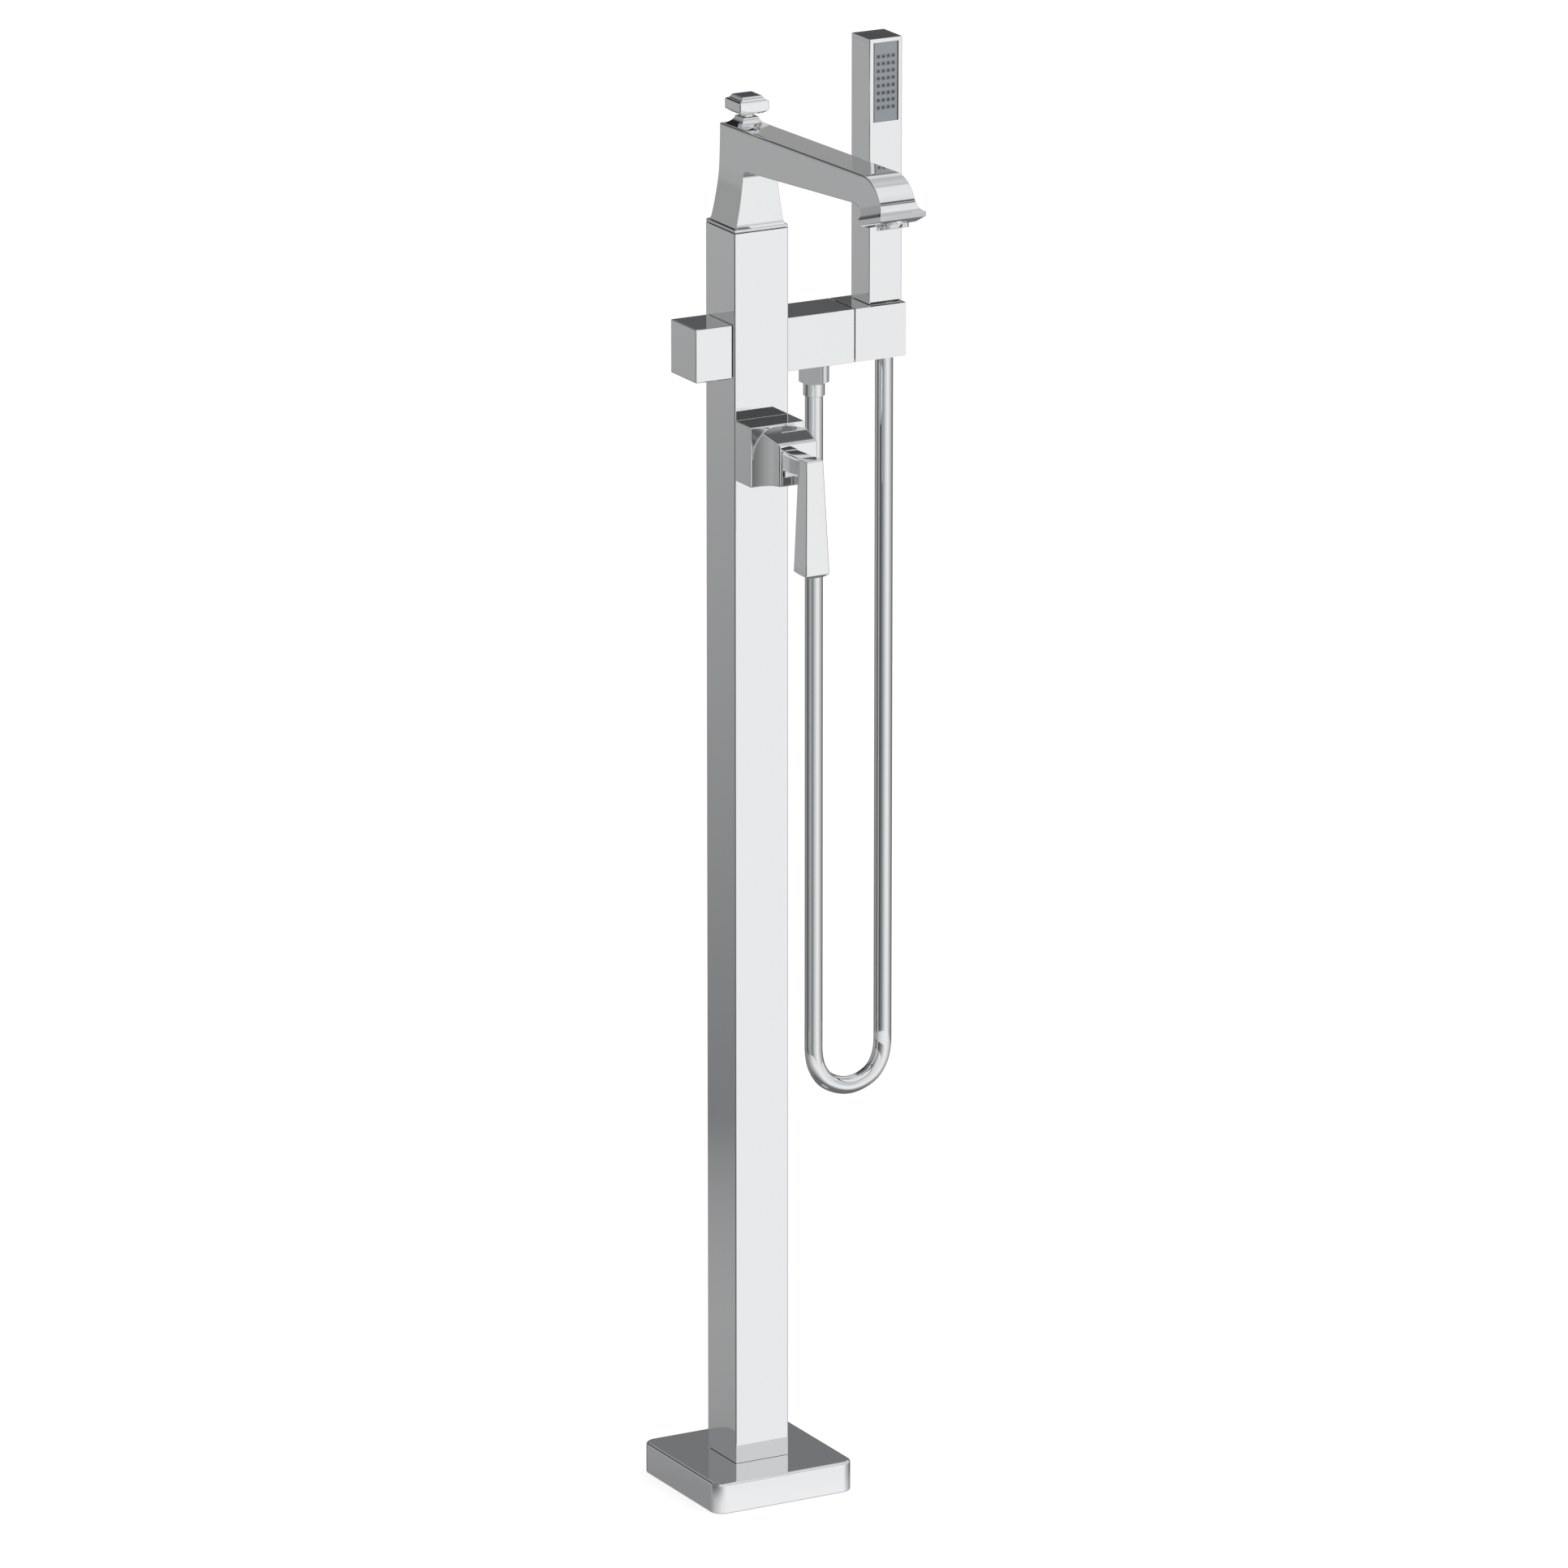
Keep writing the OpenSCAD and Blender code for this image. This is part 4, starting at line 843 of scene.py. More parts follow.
@dataclass
class BaseCover:
    """The square cover on the floor, with round corners and a rolled upper edge.

    Attributes:
        half: half its width.
        corner: radius of its upright corners.
        height: its height.
        roll: radius of its rolled upper edge.
        wall: its thickness.
        opening: half the width of the column's opening.
        step: width of the fine step round that opening.
        step_depth: its depth.
    """

    builder: Builder
    half: float = 66.0
    corner: float = 11.0
    height: float = 26.0
    roll: float = 2.0
    wall: float = 1.5
    opening: float = 25.25
    step: float = 0.35
    step_depth: float = 0.6

    def build(self) -> list[Piece]:
        """Makes the shell: outside, top with the column's opening, and inside."""
        mesh = bmesh.new()
        inner = self.half - self.wall
        inner_r = self.corner - self.wall
        top = self.height
        # Each level is half a width, a corner radius and a height, from the floor up and inwards.
        levels = [(self.half - 0.35, self.corner - 0.35, 0.0), (self.half, self.corner, 0.45)]
        for i in range(9):
            angle = math.radians(90 * i / 8)
            inset = self.roll * (1 - math.cos(angle))
            levels.append(
                (self.half - inset, self.corner - inset, top - self.roll * (1 - math.sin(angle)))
            )
        # A fine step round the opening makes the dark joint at the column's foot.
        step, low = self.opening + self.step, top - self.step_depth
        levels += [(self.half - 3.2, 7.8, top + 0.01), (step, 1.6, top)]
        levels += [(step, 1.6, low), (self.opening, 1.3, low - 0.1)]
        levels += [(self.opening, 1.3, top - self.wall), (inner, inner_r, top - self.wall)]
        levels.append((inner, inner_r, 0.0))
        loops = [rounded_square(mesh, *level, steps=14) for level in levels]
        bridge(mesh, loops + [loops[0]], start=False, end=False)
        cover = self.builder.piece("base_cover_shell", mesh, smooth_degrees=30.0, flat=90)
        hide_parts("base_cover")
        return [cover]


@dataclass
class Bonnet:
    """The hollow-sided block in front of the valve cover, with the dish for the lever.

    Attributes:
        back: place of its back edge.
        length: its length to the face.
        valve_z: height of the valve's axis.
        face_half: half the face's width.
        wide: half the width at its back edge.
        low: its depth below the axis there.
        high: its height above the axis there.
        arch: radius that rounds its upper corners at the back.
        grow: how much that radius grows to the face, where it no longer cuts them.
        dish: half the dish's width and height.
        dish_round: radius that rounds the dish's upper corners at its mouth.
        cavity: half the width of the square cavity behind the dish.
        dish_depth: depth of the dish.
        cavity_depth: depth of the cavity's floor.
        pivot_depth: distance of the lever's pivot behind the face.
        skirt: radius of the lever's skirt about that pivot.
    """

    builder: Builder
    back: float = -52.0
    length: float = 35.4
    valve_z: float = 902.2
    face_half: float = 17.5
    wide: float = 23.9
    low: float = 25.2
    high: float = 24.7
    arch: float = 23.7
    grow: float = 22.0
    dish: Flat = (14.5, 13.6)
    dish_round: float = 18.4
    cavity: float = 10.6
    dish_depth: float = 5.0
    cavity_depth: float = 23.0
    pivot_depth: float = 10.4
    skirt: float = 10.25

    def half_at(self, back: float, t: float, power: float = 1.5) -> float:
        """Half width along the hollow side, from the back edge at 0 to the face at 1."""
        return self.face_half + (back - self.face_half) * (1 - t) ** power

    def section(
        self,
        mesh: Mesh,
        y: float,
        half: float,
        up: float,
        down: float,
        radius: float,
        p: float,
    ) -> Loop:
        """A cross-section: a square whose upper corners are cut by a circle.

        Args:
            mesh: the mesh that gets it.
            y: the section's place.
            half: half its width.
            up: height above the valve's axis.
            down: depth below it.
            radius: the circle that cuts the upper corners.
            p: how sharp its corners are.

        Returns:
            Its edges.
        """
        points = []
        for angle in self.angles():
            c, s = math.cos(angle), math.sin(angle)
            parts = [abs(c) / half, abs(s) / (up if s > 0 else down)]
            if s > -0.02:
                parts.append(1 / radius)
            reach = sum(part**p for part in parts) ** (-1 / p)
            points.append(Vector((reach * c, y, self.valve_z + reach * s)))
        return outline(mesh, points)

    @staticmethod
    def angles() -> list[float]:
        """Directions round the section, close together at its corners."""
        degrees: list[float] = []
        for quarter in range(4):
            base = 90.0 * quarter
            degrees += [base + a for a in range(0, 40)]
            degrees += [base + 40 + a * 0.5 for a in range(0, 20)]
            degrees += [base + 50 + a for a in range(0, 40)]
        return [math.radians(a) for a in degrees]

    def build(self) -> list[Piece]:
        """Makes the bonnet from its back edge to the floor of its dish, and the lever's skirt."""
        mesh = bmesh.new()
        loops = []
        steps = 32
        for i in range(steps + 1):
            t = i / steps
            wide, low = self.half_at(self.wide, t), self.half_at(self.low, t)
            high = self.half_at(self.high, t, 1.12)
            y = self.back - (self.length - 0.9) * t
            loops.append(self.section(mesh, y, wide, high, low, self.arch + self.grow * t, 90.0))
        face = self.back - self.length
        for inset, depth in ((0.25, 0.45), (0.65, 0.1), (1.0, 0.0), (1.3, 0.01)):
            half = self.face_half - inset
            loops.append(self.section(mesh, face + depth, half, half, half, 60.0, 90.0))
        bridge(mesh, loops + self.dish_loops(mesh, face))
        bonnet = self.builder.piece("valve_bonnet_casting", mesh, smooth_degrees=42.0, flat=60)
        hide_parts("valve_bonnet")
        return [bonnet, self.build_skirt()]

    def build_skirt(self) -> Piece:
        """The lever's skirt: a shell round about the pivot, which closes the gap at its neck."""
        mesh = bmesh.new()
        upright = Matrix.Rotation(math.radians(90), 4, "X")
        pivot = self.back - self.length + self.pivot_depth
        place = Matrix.Translation(Vector((0.0, pivot, self.valve_z)) * MM) @ upright
        levels = [(self.skirt, math.radians(4 * i - 8)) for i in range(14)]
        levels += [(self.skirt - 0.7, angle) for _, angle in reversed(levels)]
        loops = []
        for radius, angle in levels:
            half = radius * math.cos(angle)
            loops.append(rounded_square(mesh, half, half * 0.2, radius * math.sin(angle), 5))
        bridge(mesh, loops + [loops[0]], start=False, end=False)
        bmesh.ops.transform(mesh, matrix=place, verts=mesh.verts)
        return self.builder.piece("lever_skirt", mesh, body="lever", smooth_degrees=50.0)

    def dish_loops(self, mesh: Mesh, face: float) -> list[Loop]:
        """Loops from the dish's mouth down its sloped wall to the cavity's floor."""
        wide, high = self.dish
        mouth = self.dish_round
        loops = []
        rim = ((1.0, 0.05), (0.75, 0.14), (0.5, 0.32), (0.25, 0.58), (0.05, 0.95))
        for grow, y, p in ((*step, 22.0) for step in rim):
            tall = high + grow
            loops.append(self.section(mesh, face + y, wide + grow, tall, tall, mouth + grow, p))
        for i in range(1, 15):
            t = i / 14
            half = wide + (self.cavity - wide) * t**0.85
            tall = high + (self.cavity - high) * t**0.85
            y = face + 0.95 + (self.dish_depth - 0.95) * t**1.1
            loops.append(self.section(mesh, y, half, tall, tall, mouth - 2.1 * t, 22.0 + 24 * t))
        cavity = self.cavity
        for i in range(1, 7):
            t = i / 6
            y = face + self.dish_depth + (self.cavity_depth - self.dish_depth) * t
            loops.append(self.section(mesh, y, cavity, cavity, cavity, 16.3 - 5.7 * t, 46.0))
        return loops


@dataclass
class Lever:
    """The mixer's lever: two ears on the joystick's pin, a square neck and a hanging blade.

    Attributes:
        valve_z: height of the valve's axis.
        pivot: place of the joystick's pin.
        back: place of the neck's inner end.
        neck: half the neck's width there.
        neck_corner: radius of the neck's edges.
        fillet: radius of the fillet below it.
        blade_back: place of the blade's back at its top.
        rise: how far the blade stands above the axis.
        drop: how far it hangs below, without its tip.
        tip: height of the bevelled tip.
        blade: the blade's half width and its thickness at the top.
        grow: how much both grow to the tip.
        ears: distances of the ears' two sides from the middle.
        soft: radius of the blade's edges.
    """

    builder: Builder
    valve_z: float = 902.2
    pivot: float = -77.0
    back: float = -83.6
    neck: float = 8.7
    neck_corner: float = 2.4
    fillet: float = 2.2
    blade_back: float = -100.8
    rise: float = 8.8
    drop: float = 86.2
    tip: float = 3.0
    blade: Flat = (7.75, 14.6)
    grow: Flat = (3.25, 7.4)
    ears: Flat = (3.9, 7.3)
    soft: float = 1.1

    def build(self) -> list[Piece]:
        """Makes the lever from three overlapping lofts."""
        mesh = bmesh.new()
        self.add_neck(mesh)
        upright = Matrix.Rotation(math.radians(90), 4, "X")
        bmesh.ops.transform(mesh, matrix=upright, verts=mesh.verts)
        self.add_blade(mesh)
        self.add_ears(mesh)
        bmesh.ops.translate(mesh, verts=mesh.verts, vec=Vector((0.0, 0.0, self.valve_z)) * MM)
        lever = self.builder.piece("mixer_lever", mesh, body="lever", smooth_degrees=40.0, flat=80)
        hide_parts("lever")
        return [lever]

    def add_neck(self, mesh: Mesh) -> None:
        """The neck along the local Z axis. It narrows to the blade and is filleted below."""
        near, far = -self.back, -self.blade_back
        rows = [(near, 0.9, 0.0), (near + 0.15, 0.4, 0.0), (near + 0.7, 0.0, 0.0)]
        rows += [(far - 2.6, 0.0, 0.0)]
        for i in range(1, 9):
            s = i / 8
            rows.append((far - 2.6 + 2.5 * s, 0.0, self.fillet * (1 - math.sqrt(1 - s * s))))
        rows.append((far + 2.0, 0.0, self.fillet))
        loops = []
        for depth, inset, fillet in rows:
            t = min(1.0, (depth - near) / (far - near))
            top, low = self.neck - 0.3 * t - inset, t - self.neck + inset - fillet
            half = (self.neck - 0.95 * t - inset, (top - low) / 2)
            centre = (0.0, (top + low) / 2)
            loops.append(rounded_square(mesh, half, self.neck_corner - inset, depth, 6, centre))
        bridge(mesh, loops)

    def add_blade(self, mesh: Mesh) -> None:
        """The blade, wider and thicker below, with softened edges and a bevelled tip."""
        top: list[Flat] = []
        for i in range(5):
            angle = math.radians(90 * (1 - i / 4))
            height = self.rise - self.soft * (1 - math.sin(angle))
            top.append((height, self.soft * (1 - math.cos(angle))))
        body = [(top[-1][0] - (top[-1][0] + self.drop - 0.6) * i / 10, 0.0) for i in range(1, 11)]
        end = [(-self.drop - 0.1, 0.2), (-self.drop - 0.6, 0.75)]
        end += [(-self.drop - self.tip + 0.3, 3.7), (-self.drop - self.tip, 4.2)]
        wide, thick = self.blade
        loops = []
        for height, inset in top + body + end:
            t = (self.rise - height) / (self.rise + self.drop)
            back = self.blade_back + 2.4 * t - inset
            front = back - thick - self.grow[1] * t + 2 * inset
            half = (wide + self.grow[0] * min(t, 1.0) - inset, (back - front) / 2)
            radius = max(0.3, self.soft - 0.3 * inset)
            centre = (0.0, (front + back) / 2)
            loops.append(rounded_square(mesh, half, radius, height, 4, centre))
        bridge(mesh, loops)

    def add_ears(self, mesh: Mesh) -> None:
        """The two ears, each a plate with a bore for the joystick's pin."""
        for side in (-1, 1):
            before = set(mesh.verts)
            near, far = self.ears
            loops = []
            for depth in (near, far):
                loops.append(rounded_square(mesh, (2.8, 6.4), 2.79, depth, 6, (0.0, -80.6)))
            for depth in (far - 0.01, near + 0.01):
                place = Matrix.Translation(Vector((0.0, self.pivot, depth)) * MM)
                loops.append(circle(mesh, 1.75, place, 28))
            bridge(mesh, loops + [loops[0]], start=False, end=False)
            turn = Matrix.Rotation(math.radians(90 * side), 4, "Y")
            ear = [vert for vert in mesh.verts if vert not in before]
            bmesh.ops.transform(mesh, matrix=turn, verts=ear)


@dataclass
class HandShower:
    """The hand shower's shell with the spray plate's window, and its top plate.

    Attributes:
        centre: middle of the square stick.
        half: half its size along X and Y.
        corner: radius of its upright edges.
        wall: the shell's thickness.
        low: height of the shell's lower end.
        shell_top: height of its upper end.
        top: height of the top plate's upper face.
        window: lowest and highest point of the window.
        window_half: half the window's width.
    """

    builder: Builder
    centre: Flat = (121.15, 0.5)
    half: Flat = (15.25, 15.5)
    corner: float = 0.9
    wall: float = 1.8
    low: float = 1007.3
    shell_top: float = 1226.5
    top: float = 1229.5
    window: Flat = (1159.8, 1226.2)
    window_half: float = 10.6

    def build(self) -> list[Piece]:
        """Makes both pieces."""
        return [self.build_shell(), self.build_top()]

    def loop(self, mesh: Mesh, inset: float, radius: float, height: float) -> Loop:
        """One level loop of the stick, inset from its outside."""
        half = (self.half[0] - inset, self.half[1] - inset)
        return rounded_square(mesh, half, radius, height, 4, self.centre)

    def build_shell(self) -> Piece:
        """The square tube, open above and below."""
        mesh = bmesh.new()
        r, w = self.corner, self.wall
        rows = [(w, 0.3, self.low + 0.1), (0.3, r, self.low), (0.0, r, self.low + 0.3)]
        rows += [(0.0, r, 1090.0), (0.0, r, self.shell_top - 0.02), (0.05, r, self.shell_top)]
        rows += [(w, 0.3, self.shell_top), (w, 0.3, self.shell_top - 0.02), (w, 0.3, 1090.0)]
        loops = [self.loop(mesh, *row) for row in rows]
        bridge(mesh, loops + [loops[0]], start=False, end=False)
        self.cut_window(mesh)
        shell = self.builder.piece(
            "hand_shower_shell", mesh, body="hand_shower", smooth_degrees=40.0, flat=90
        )
        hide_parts("shower_shell")
        return shell

    def cut_window(self, mesh: Mesh) -> None:
        """Cuts the window through the front wall: two inset faces, joined by their edges."""
        front = self.centre[1] - self.half[1]
        middle = sum(self.window) / 2
        mesh.faces.ensure_lookup_table()
        edges: Loop = []
        for depth, inset in ((front, self.corner), (front + self.wall, self.wall + 0.3)):
            face = next(
                f
                for f in mesh.faces
                if f.calc_area() > 1e-3
                and abs(f.calc_center_median().y - depth * MM) < 1e-5
                and max(v.co.z for v in f.verts) > middle * MM
            )
            width = self.half[0] - inset - self.window_half
            bmesh.ops.inset_individual(mesh, faces=[face], thickness=width * MM)
            for vert in face.verts:
                vert.co.z = self.window[0 if vert.co.z < middle * MM else 1] * MM
            edges += list(face.edges)
            bmesh.ops.delete(mesh, geom=[face], context="FACES_ONLY")
        bmesh.ops.bridge_loops(mesh, edges=edges)

    def build_top(self) -> Piece:
        """The top plate, with a fine broken edge round its upper face."""
        mesh = bmesh.new()
        r = self.corner
        rows = [(0.05, r, self.shell_top + 0.01), (0.0, r, self.shell_top + 0.03)]
        rows += [(0.0, r, self.top - 0.35), (0.1, r, self.top - 0.1), (0.35, r, self.top)]
        bridge(mesh, [self.loop(mesh, *row) for row in rows])
        top = self.builder.piece(
            "hand_shower_top", mesh, body="hand_shower", smooth_degrees=40.0, flat=90
        )
        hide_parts("shower_top")
        return top


@dataclass
class KnobParts:
    """The spout's bead, the pedestal on the spout and the square cap of the lift knob.

    Attributes:
        bead_z: height of the bead's middle.
        bead_half: half its width, without its bulge.
        bead_bulge: how far its round side stands out.
        bead_rise: half its height.
        top_z: height of the spout's top over the column's middle.
        top_rise: slope of the spout's top in degrees.
        pedestal_top: height of the pedestal's upper end.
        pedestal_half: half its width there.
        pedestal_flare: how much wider each side is at its foot.
    """

    builder: Builder
    bead_z: float = 1085.7
    bead_half: float = 23.9
    bead_bulge: float = 1.1
    bead_rise: float = 1.6
    top_z: float = 1167.9
    top_rise: float = 1.3
    pedestal_top: float = 1174.9
    pedestal_half: float = 7.3
    pedestal_flare: float = 6.5

    def build(self) -> list[Piece]:
        """Makes the three pieces."""
        return [self.build_bead(), self.build_pedestal(), self.build_cap()]

    def build_bead(self) -> Piece:
        """The thin bead between the column and the spout."""
        mesh = bmesh.new()
        loops = []
        for i in range(11):
            angle = math.radians(-90 + 180 * i / 10)
            half = self.bead_half + self.bead_bulge * math.cos(angle)
            height = self.bead_z + self.bead_rise * math.sin(angle)
            loops.append(rounded_square(mesh, half, 1.5, height))
        bridge(mesh, loops)
        bead = self.builder.piece("spout_bead_ring", mesh, smooth_degrees=60.0)
        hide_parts("spout_bead")
        return bead

    def build_pedestal(self) -> Piece:
        """The flared foot, fitted to the spout's slightly sloping top."""
        mesh = bmesh.new()
        low = self.top_z
        loops = []
        steps = 20
        for i in range(steps + 1):
            t = i / steps
            half = self.pedestal_half + self.pedestal_flare * (1 - t) ** 2
            loops.append(rounded_square(mesh, half, 0.5, low + (self.pedestal_top - low) * t, 3))
        # The foot leans with the spout's top, and less so towards the upper end.
        slope = math.tan(math.radians(self.top_rise))
        for vert in mesh.verts:
            share = (self.pedestal_top - vert.co.z / MM) / (self.pedestal_top - low)
            vert.co.z -= vert.co.y * slope * share
        loops.append(rounded_square(mesh, 3.2, 2.9, self.pedestal_top - 0.05, 3))
        bridge(mesh, loops)
        pedestal = self.builder.piece(
            "lift_knob_pedestal", mesh, edges=Edges(0.3, 2, 50.0), smooth_degrees=40.0
        )
        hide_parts("knob_pedestal")
        return pedestal

    def build_cap(self) -> Piece:
        """The square cap: bevelled below, a straight band, a stepped crown and a flat top."""
        mesh = bmesh.new()
        bevel = [(10.0, 1178.3), (12.3, 1179.9), (12.9, 1180.2), (13.3, 1180.7)]
        band = [(13.5, 1181.4), (13.5, 1187.9), (13.35, 1188.4), (12.9, 1188.9)]
        crown = [(11.9, 1189.4), (11.3, 1189.6), (10.6, 1190.2), (10.0, 1191.2)]
        flat_top = [(9.6, 1192.1), (9.2, 1192.55), (8.7, 1192.7)]
        dense = smooth_through(bevel + band + crown + flat_top, 4)
        bridge(mesh, [rounded_square(mesh, half, 1.1, z, 5) for half, z in dense])
        neck = [(5.6, 1175.2), (5.5, 1175.5), (5.2, 1176.6), (5.5, 1177.7), (6.4, 1178.5)]
        bridge(mesh, [circle(mesh, r, z) for r, z in smooth_through(neck, 4)])
        cap = self.builder.piece(
            "lift_knob_square_cap", mesh, body="lift_knob", smooth_degrees=50.0, flat=70
        )
        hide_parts("lift_knob_cap")
        return cap


@dataclass
class Nozzles:
    """The soft nozzles of the hand shower: small square studs, each with a round hole.

    Attributes:
        columns: studs side by side.
        rows: studs above each other.
        pitch: their distances along X and Z.
        centre: middle of the spray plate's face.
        half: half a stud's width.
        out: how far it stands out of the plate.
        depth: its length.
    """

    builder: Builder
    columns: int = 4
    rows: int = 8
    pitch: Flat = (4.6, 6.1)
    centre: Point = (121.15, -15.0, 1193.0)
    half: float = 1.4
    out: float = 0.5
    depth: float = 3.4

    def build(self) -> list[Piece]:
        """Makes all studs as one piece."""
        mesh = bmesh.new()
        self.stud(mesh)
        first = list(mesh.verts) + list(mesh.edges) + list(mesh.faces)
        for i in range(self.columns):
            for k in range(self.rows):
                x = (i - (self.columns - 1) / 2) * self.pitch[0]
                z = (k - (self.rows - 1) / 2) * self.pitch[1]
                copy = bmesh.ops.duplicate(mesh, geom=first)["geom"]
                verts = [part for part in copy if isinstance(part, bmesh.types.BMVert)]
                bmesh.ops.translate(mesh, verts=verts, vec=Vector((x, 0.0, z)) * MM)
        verts = [part for part in first if isinstance(part, bmesh.types.BMVert)]
        bmesh.ops.delete(mesh, geom=verts, context="VERTS")
        nozzles = self.builder.piece(
            "spray_nozzle_studs", mesh, Slot.NOZZLE, "hand_shower", smooth_degrees=30.0
        )
        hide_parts("spray_nozzles")
        return [nozzles]

    def stud(self, mesh: Mesh) -> None:
        """One nozzle in the plate's middle: a square stud with a stepped hole."""
        half = self.half
        side = [(half, 0.2, -self.depth), (half, 0.2, -0.35), (half - 0.1, 0.25, -0.08)]
        hole = [(half - 0.3, 0.3, 0.0), (0.62, 0.6, -0.02), (0.52, 0.5, -0.12), (0.45, 0.44, -1.4)]
        bridge(mesh, [rounded_square(mesh, *level, steps=3) for level in side + hole])
        face = Vector(self.centre) + Vector((0.0, 0.4 - self.out, 0.0))
        upright = Matrix.Rotation(math.radians(90), 4, "X")
        place = Matrix.Translation(face * MM) @ upright
        bmesh.ops.transform(mesh, matrix=place, verts=mesh.verts)


@dataclass
class Fittings:
    """The CAD nodes that keep their shape and get real finishes and broken edges.

    Attributes:
        REPLACED: the nodes that this script makes anew.
        palette: the finishes.
        nodes: the CAD nodes by name.
        crisp: how the edges of the outer ones are broken.
    """

    REPLACED: ClassVar[frozenset[str]] = frozenset(
        "shower_hose base_cover spout_body valve_bonnet lever shower_shell shower_top "
        "spout_bead knob_pedestal lift_knob_cap spray_nozzles".split()
    )
    palette: Palette
    nodes: Mapping[str, Piece]
    crisp: Mapping[str, Edges] = field(
        default_factory=lambda: {
            "column_tube": Edges(0.6, 3, 60.0, flatten=True),
            "valve_cover": Edges(0.7, 4, 40.0, flatten=True),
            "crossbar_arm": Edges(0.5, 4, 40.0, flatten=True),
            "shutoff_knob": Edges(0.9, 4, 40.0, flatten=True),
            "holder_block": Edges(0.7, 4, 40.0, flatten=True),
            "hose_nut": Edges(0.5, 3, 40.0),
            "hose_ferrule": Edges(0.5, 3, 40.0),
            "hose_cone": Edges(0.4, 3, 50.0),
            "aerator_housing": Edges(0.2, 2, 50.0),
        }
    )

    def dress(self) -> None:
        """Gives each shown node its material, and the outer ones their broken edges."""
        for name, node in self.nodes.items():
            if name in self.REPLACED:
                continue
            for slot in node.material_slots:
                slot.material = self.palette.get(Slot(slot.material.name))
            if name in self.crisp:
                self.crisp[name].soften(node, weld=True)


# Studio


@dataclass(frozen=True)
class Strip:
    """A dark strip of card above the horizon.

    Attributes:
        turn: compass direction of its middle, half its width and its soft edge, in degrees.
        height: the same three for its height.
        grey: the grey that the chrome shows.
    """

    turn: Point
    height: Point
    grey: int


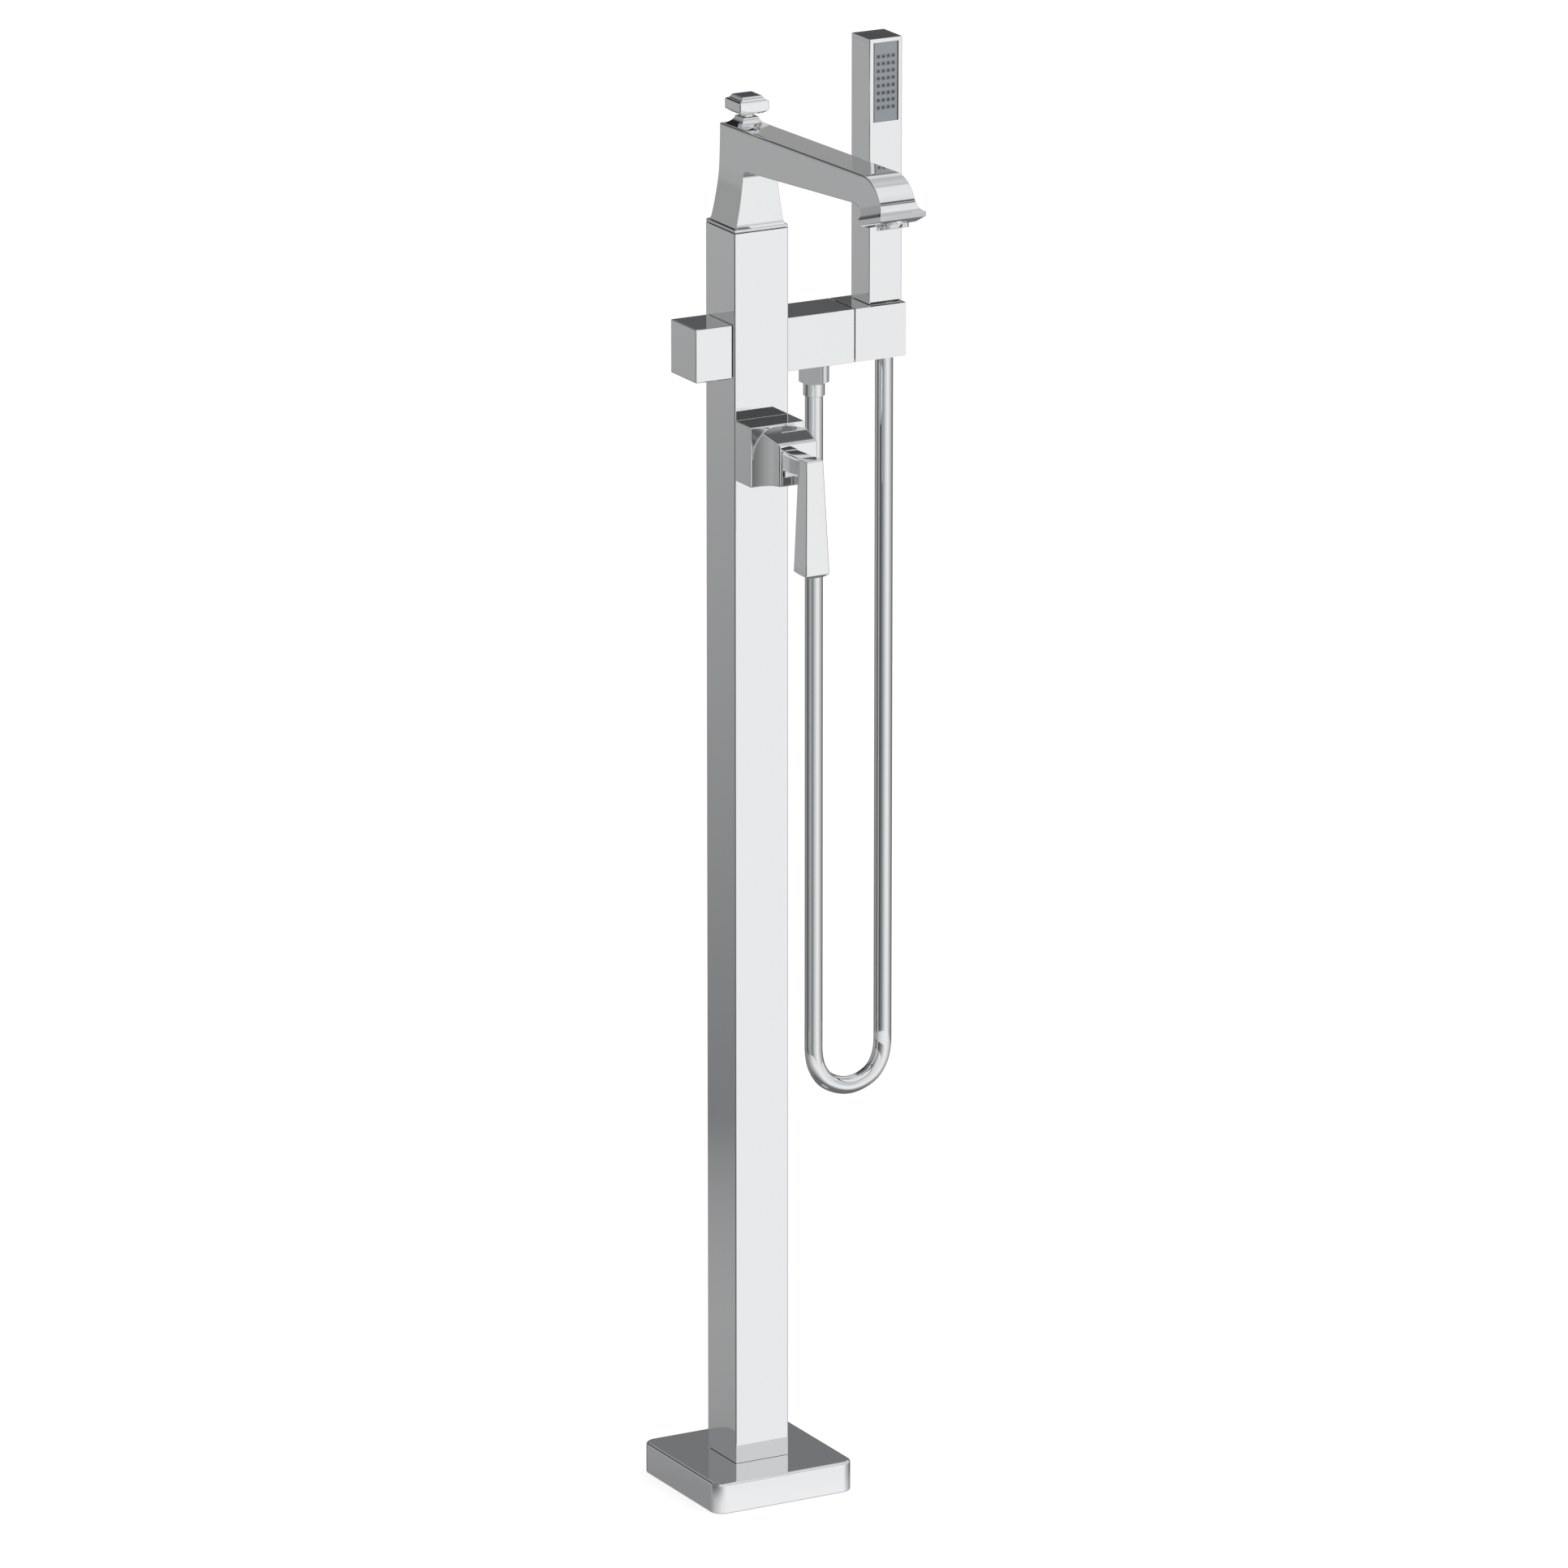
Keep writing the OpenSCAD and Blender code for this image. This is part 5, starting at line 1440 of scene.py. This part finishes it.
@dataclass
class Studio:
    """A white studio. What the chrome mirrors is set by direction, like cards round a table.

    Each table gives the grey that the chrome shows by an angle in degrees, either round the
    horizon, where 0 is on the right and -90 in front, or above and below it.

    Attributes:
        gain: makes up for the light that the plate swallows.
        walls: the walls round the horizon and below it.
        floor_greys: the studio's floor round the object.
        left_card: the card behind on the left, by height.
        back_card: the cards behind, above the horizon.
        front_card: the cards in front, above the horizon.
        side_card: what is above the horizon elsewhere.
        strips: dark strips above the horizon.
        horizon: heights between which the walls change to the cards above them.
        floor_line: heights between which the floor changes to the walls.
        deep: heights between which the floor changes to what is far below.
        deep_grey: the grey that is mirrored from far below.
        floor_paint: how light the floor's paint is.
        floor_glow: light that keeps the floor white round the shadow.
        lamp_place: the soft lamp's place.
        lamp_watts: its power.
    """

    gain: float = 1.09
    walls: Greys = (
        (-180, 55), (-172, 60), (-160, 80), (-140, 120), (-130, 140), (-120, 160), (-108, 190),
        (-90, 220), (-75, 235), (-62, 235), (-40, 205), (-25, 180), (-8, 150), (12, 110),
        (30, 100), (60, 85), (97, 100), (110, 140), (123, 150), (136, 165), (142, 150),
        (149, 110), (156, 90), (164, 50),
    )
    floor_greys: Greys = (
        (-180, 190), (-150, 210), (-120, 230), (-60, 238), (-20, 200), (20, 150), (60, 110),
        (97, 110), (120, 140), (140, 150), (160, 170), (180, 190),
    )
    left_card: Greys = (
        (-30, 130), (-19.6, 135), (-19.2, 150), (-18.8, 155), (-18.5, 152), (-18.15, 145),
        (-17.85, 120), (-15.75, 145), (-13.6, 163), (-10, 160), (8, 155), (18, 120), (28, 100),
    )
    back_card: Greys = (
        (0, 150), (11.4, 150), (12.3, 80), (13.2, 70), (14.2, 90), (19.5, 115), (23, 140),
        (29, 225), (36, 210), (46, 180), (58, 200), (75, 215), (90, 215),
    )
    front_card: Greys = (
        (0, 225), (22, 210), (31, 220), (32.5, 95), (36, 95), (37.5, 220), (54, 230), (90, 215),
    )
    side_card: Greys = (
        (0, 150), (16, 145), (20, 130), (25, 100), (32, 90), (44, 120), (55, 90), (68, 110),
        (90, 215),
    )
    strips: Sequence[Strip] = (
        Strip((92, 12, 4), (27, 14, 5), 35), Strip((-58, 13, 5), (13.5, 1.4, 0.35), 68),
    )
    horizon: Flat = (-8.7, -7.2)
    floor_line: Flat = (-19.44, -19.5)
    deep: Flat = (-30.0, -55.0)
    deep_grey: int = 110
    floor_paint: float = 0.34
    floor_glow: float = 0.72
    lamp_place: Point = (1.6, -2.6, 2.6)
    lamp_watts: float = 28.0

    def build(self) -> None:
        """Makes the world, the floor and one soft lamp."""
        self.build_world()
        self.build_floor()
        self.build_lamp()

    def level(self, grey: int) -> Colour:
        """The light that makes the chrome show this grey. Dark greys are slightly blue."""
        cold = max(0.0, (150 - grey) / 150) * 0.05
        base = linear("#" + "%02x" % grey * 3)[0] * self.gain
        return (base * (1 - cold), base, base * (1 + 1.3 * cold), 1.0)

    def greys(self, tree: Tree, angle: Socket, table: Greys, low: float, high: float) -> Socket:
        """The colours of a table along an angle.

        Args:
            tree: the world's node tree.
            angle: the angle in radians.
            table: greys by degrees.
            low: the angle in degrees at which the ramp starts.
            high: the angle at which it ends.

        Returns:
            The colour.
        """
        stops = [((degrees - low) / (high - low), self.level(g)) for degrees, g in table]
        return ramp(tree, self.span(tree, angle, low, high), stops)

    def above_horizon(self, tree: Tree, turn: Socket, height: Socket) -> Socket:
        """The cards above the horizon: behind, in front, elsewhere, and the dark strips."""
        back = self.greys(tree, height, self.back_card, 0, 90)
        front = self.greys(tree, height, self.front_card, 0, 90)
        side = self.greys(tree, height, self.side_card, 0, 90)
        in_front = self.mix(tree, self.near(tree, turn, -65, 62, 30), side, front)
        above = self.mix(tree, self.near(tree, turn, 45, 26, 12), in_front, back)
        for strip in self.strips:
            across = self.near(tree, turn, *strip.turn)
            upright = self.near(tree, height, *strip.height)
            inside = self.math(tree, "MULTIPLY", across, upright)
            above = self.mix(tree, inside, above, self.level(strip.grey))
        return above

    def build_world(self) -> None:
        """The world: white to the camera, soft light for shading, cards for reflections."""
        world = bpy.data.worlds.new("studio")
        bpy.context.scene.world = world
        world.use_nodes = True
        tree = world.node_tree
        tree.nodes.clear()
        place = add_node(tree, "ShaderNodeTexCoord").outputs["Generated"]
        axis = add_node(tree, "ShaderNodeSeparateXYZ", {0: place}).outputs
        turn = self.math(tree, "ARCTAN2", axis[1], axis[0])
        height = self.math(tree, "ARCSINE", axis[2])
        walls = self.greys(tree, turn, self.walls, -180, 180)
        left = self.greys(tree, height, self.left_card, -30, 30)
        below = self.mix(tree, self.near(tree, turn, 118, 12, 8), walls, left)
        above = self.above_horizon(tree, turn, height)
        cards = self.mix(tree, self.span(tree, height, *self.horizon), below, above)
        low = self.greys(tree, turn, self.floor_greys, -180, 180)
        floor = self.mix(tree, self.span(tree, height, *self.floor_line), cards, low)
        far_down = self.span(tree, height, *self.deep)
        deep = self.mix(tree, far_down, floor, self.level(self.deep_grey))
        rays = add_node(tree, "ShaderNodeLightPath").outputs
        soft = self.mix(tree, rays["Is Camera Ray"], (0.98, 0.98, 0.98, 1.0), (1, 1, 1, 1.0))
        seen = self.mix(tree, rays["Is Glossy Ray"], soft, deep)
        shader = add_node(tree, "ShaderNodeBackground", {"Color": seen, "Strength": 1.0})
        out = add_node(tree, "ShaderNodeOutputWorld")
        tree.links.new(shader.outputs[0], out.inputs["Surface"])

    def math(self, tree: Tree, operation: str, *values: object) -> Socket:
        """One math node."""
        return add_node(
            tree, "ShaderNodeMath", dict(enumerate(values)), operation=operation
        ).outputs[0]

    def span(self, tree: Tree, angle: Socket, low: float, high: float) -> Socket:
        """0 where the angle is low degrees and 1 where it is high degrees, held beyond them."""
        return add_node(
            tree,
            "ShaderNodeMapRange",
            {"Value": angle, "From Min": math.radians(low), "From Max": math.radians(high)},
        ).outputs[0]

    def near(self, tree: Tree, turn: Socket, centre: float, half: float, fade: float) -> Socket:
        """1 within half degrees of a compass direction, fading to 0 over fade degrees."""
        away = self.math(tree, "SUBTRACT", turn, math.radians(centre))
        wrapped = self.math(tree, "COSINE", away)
        back = self.math(tree, "ARCCOSINE", wrapped)
        return self.span(tree, back, half + fade, half)

    def mix(self, tree: Tree, factor: object, a: object, b: object) -> Socket:
        """a where the factor is 0 and b where it is 1."""
        node = add_node(tree, "ShaderNodeMix", data_type="RGBA")
        for key, value in ((0, factor), (6, a), (7, b)):
            if isinstance(value, Socket):
                tree.links.new(value, node.inputs[key])
            else:
                node.inputs[key].default_value = value
        return node.outputs[2]

    def build_floor(self) -> None:
        """A wide white floor that keeps a faint shadow and isn't mirrored in the chrome."""
        mesh = bmesh.new()
        bmesh.ops.create_circle(mesh, cap_ends=True, segments=96, radius=70.0)
        data = bpy.data.meshes.new("studio_floor")
        mesh.to_mesh(data)
        mesh.free()
        floor = bpy.data.objects.new("studio_floor", data)
        bpy.context.scene.collection.objects.link(floor)
        floor.location.z = -0.0004
        floor.visible_glossy = False
        material = bpy.data.materials.new("studio_floor_paint")
        material.use_nodes = True
        tree = material.node_tree
        tree.nodes.clear()
        paint = add_node(tree, "ShaderNodeBsdfDiffuse", {"Color": (*[self.floor_paint] * 3, 1.0)})
        glow = add_node(tree, "ShaderNodeEmission", {"Color": (*[self.floor_glow] * 3, 1.0)})
        both = add_node(tree, "ShaderNodeAddShader")
        tree.links.new(paint.outputs[0], both.inputs[0])
        tree.links.new(glow.outputs[0], both.inputs[1])
        out = add_node(tree, "ShaderNodeOutputMaterial")
        tree.links.new(both.outputs[0], out.inputs["Surface"])
        data.materials.append(material)

    def build_lamp(self) -> None:
        """A large soft lamp at the front right, which the chrome doesn't mirror."""
        data = bpy.data.lights.new("soft_lamp", "AREA")
        data.shape = "DISK"
        data.size = 2.4
        data.energy = self.lamp_watts
        lamp = bpy.data.objects.new("soft_lamp", data)
        lamp.location = self.lamp_place
        aim = Vector(self.lamp_place) - Vector((0.0, 0.0, 0.8))
        lamp.rotation_euler = aim.to_track_quat("Z", "Y").to_euler()
        lamp.visible_glossy = False
        bpy.context.scene.collection.objects.link(lamp)


@dataclass
class BathFiller:
    """The whole visual model.

    Attributes:
        frame: the loaded frame, with the CAD nodes by name.
        pieces: the pieces made here.
    """

    frame: dict
    pieces: list[Piece] = field(default_factory=list)

    def build(self) -> None:
        """Makes the hose first, then the castings, and dresses the CAD nodes."""
        palette = Palette()
        builder = Builder(palette)
        nodes: Mapping[str, Piece] = self.frame["nodes"]
        self.pieces += Hose(builder).build(nodes["hose_ferrule"])
        for kind in (BaseCover, Spout, Bonnet, Lever, HandShower, KnobParts, Nozzles):
            self.pieces += kind(builder).build()
        Fittings(palette, nodes).dress()
        LOG.info("%d new pieces, %d CAD nodes", len(self.pieces), len(nodes))


def main() -> None:
    """Builds the scene."""
    logging.basicConfig(level=logging.INFO, format="%(name)s: %(message)s")
    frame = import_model()
    bpy.context.scene.view_settings.view_transform = "Standard"
    Camera().build()
    BathFiller(frame).build()
    Studio().build()


if __name__ == "__main__":
    main()
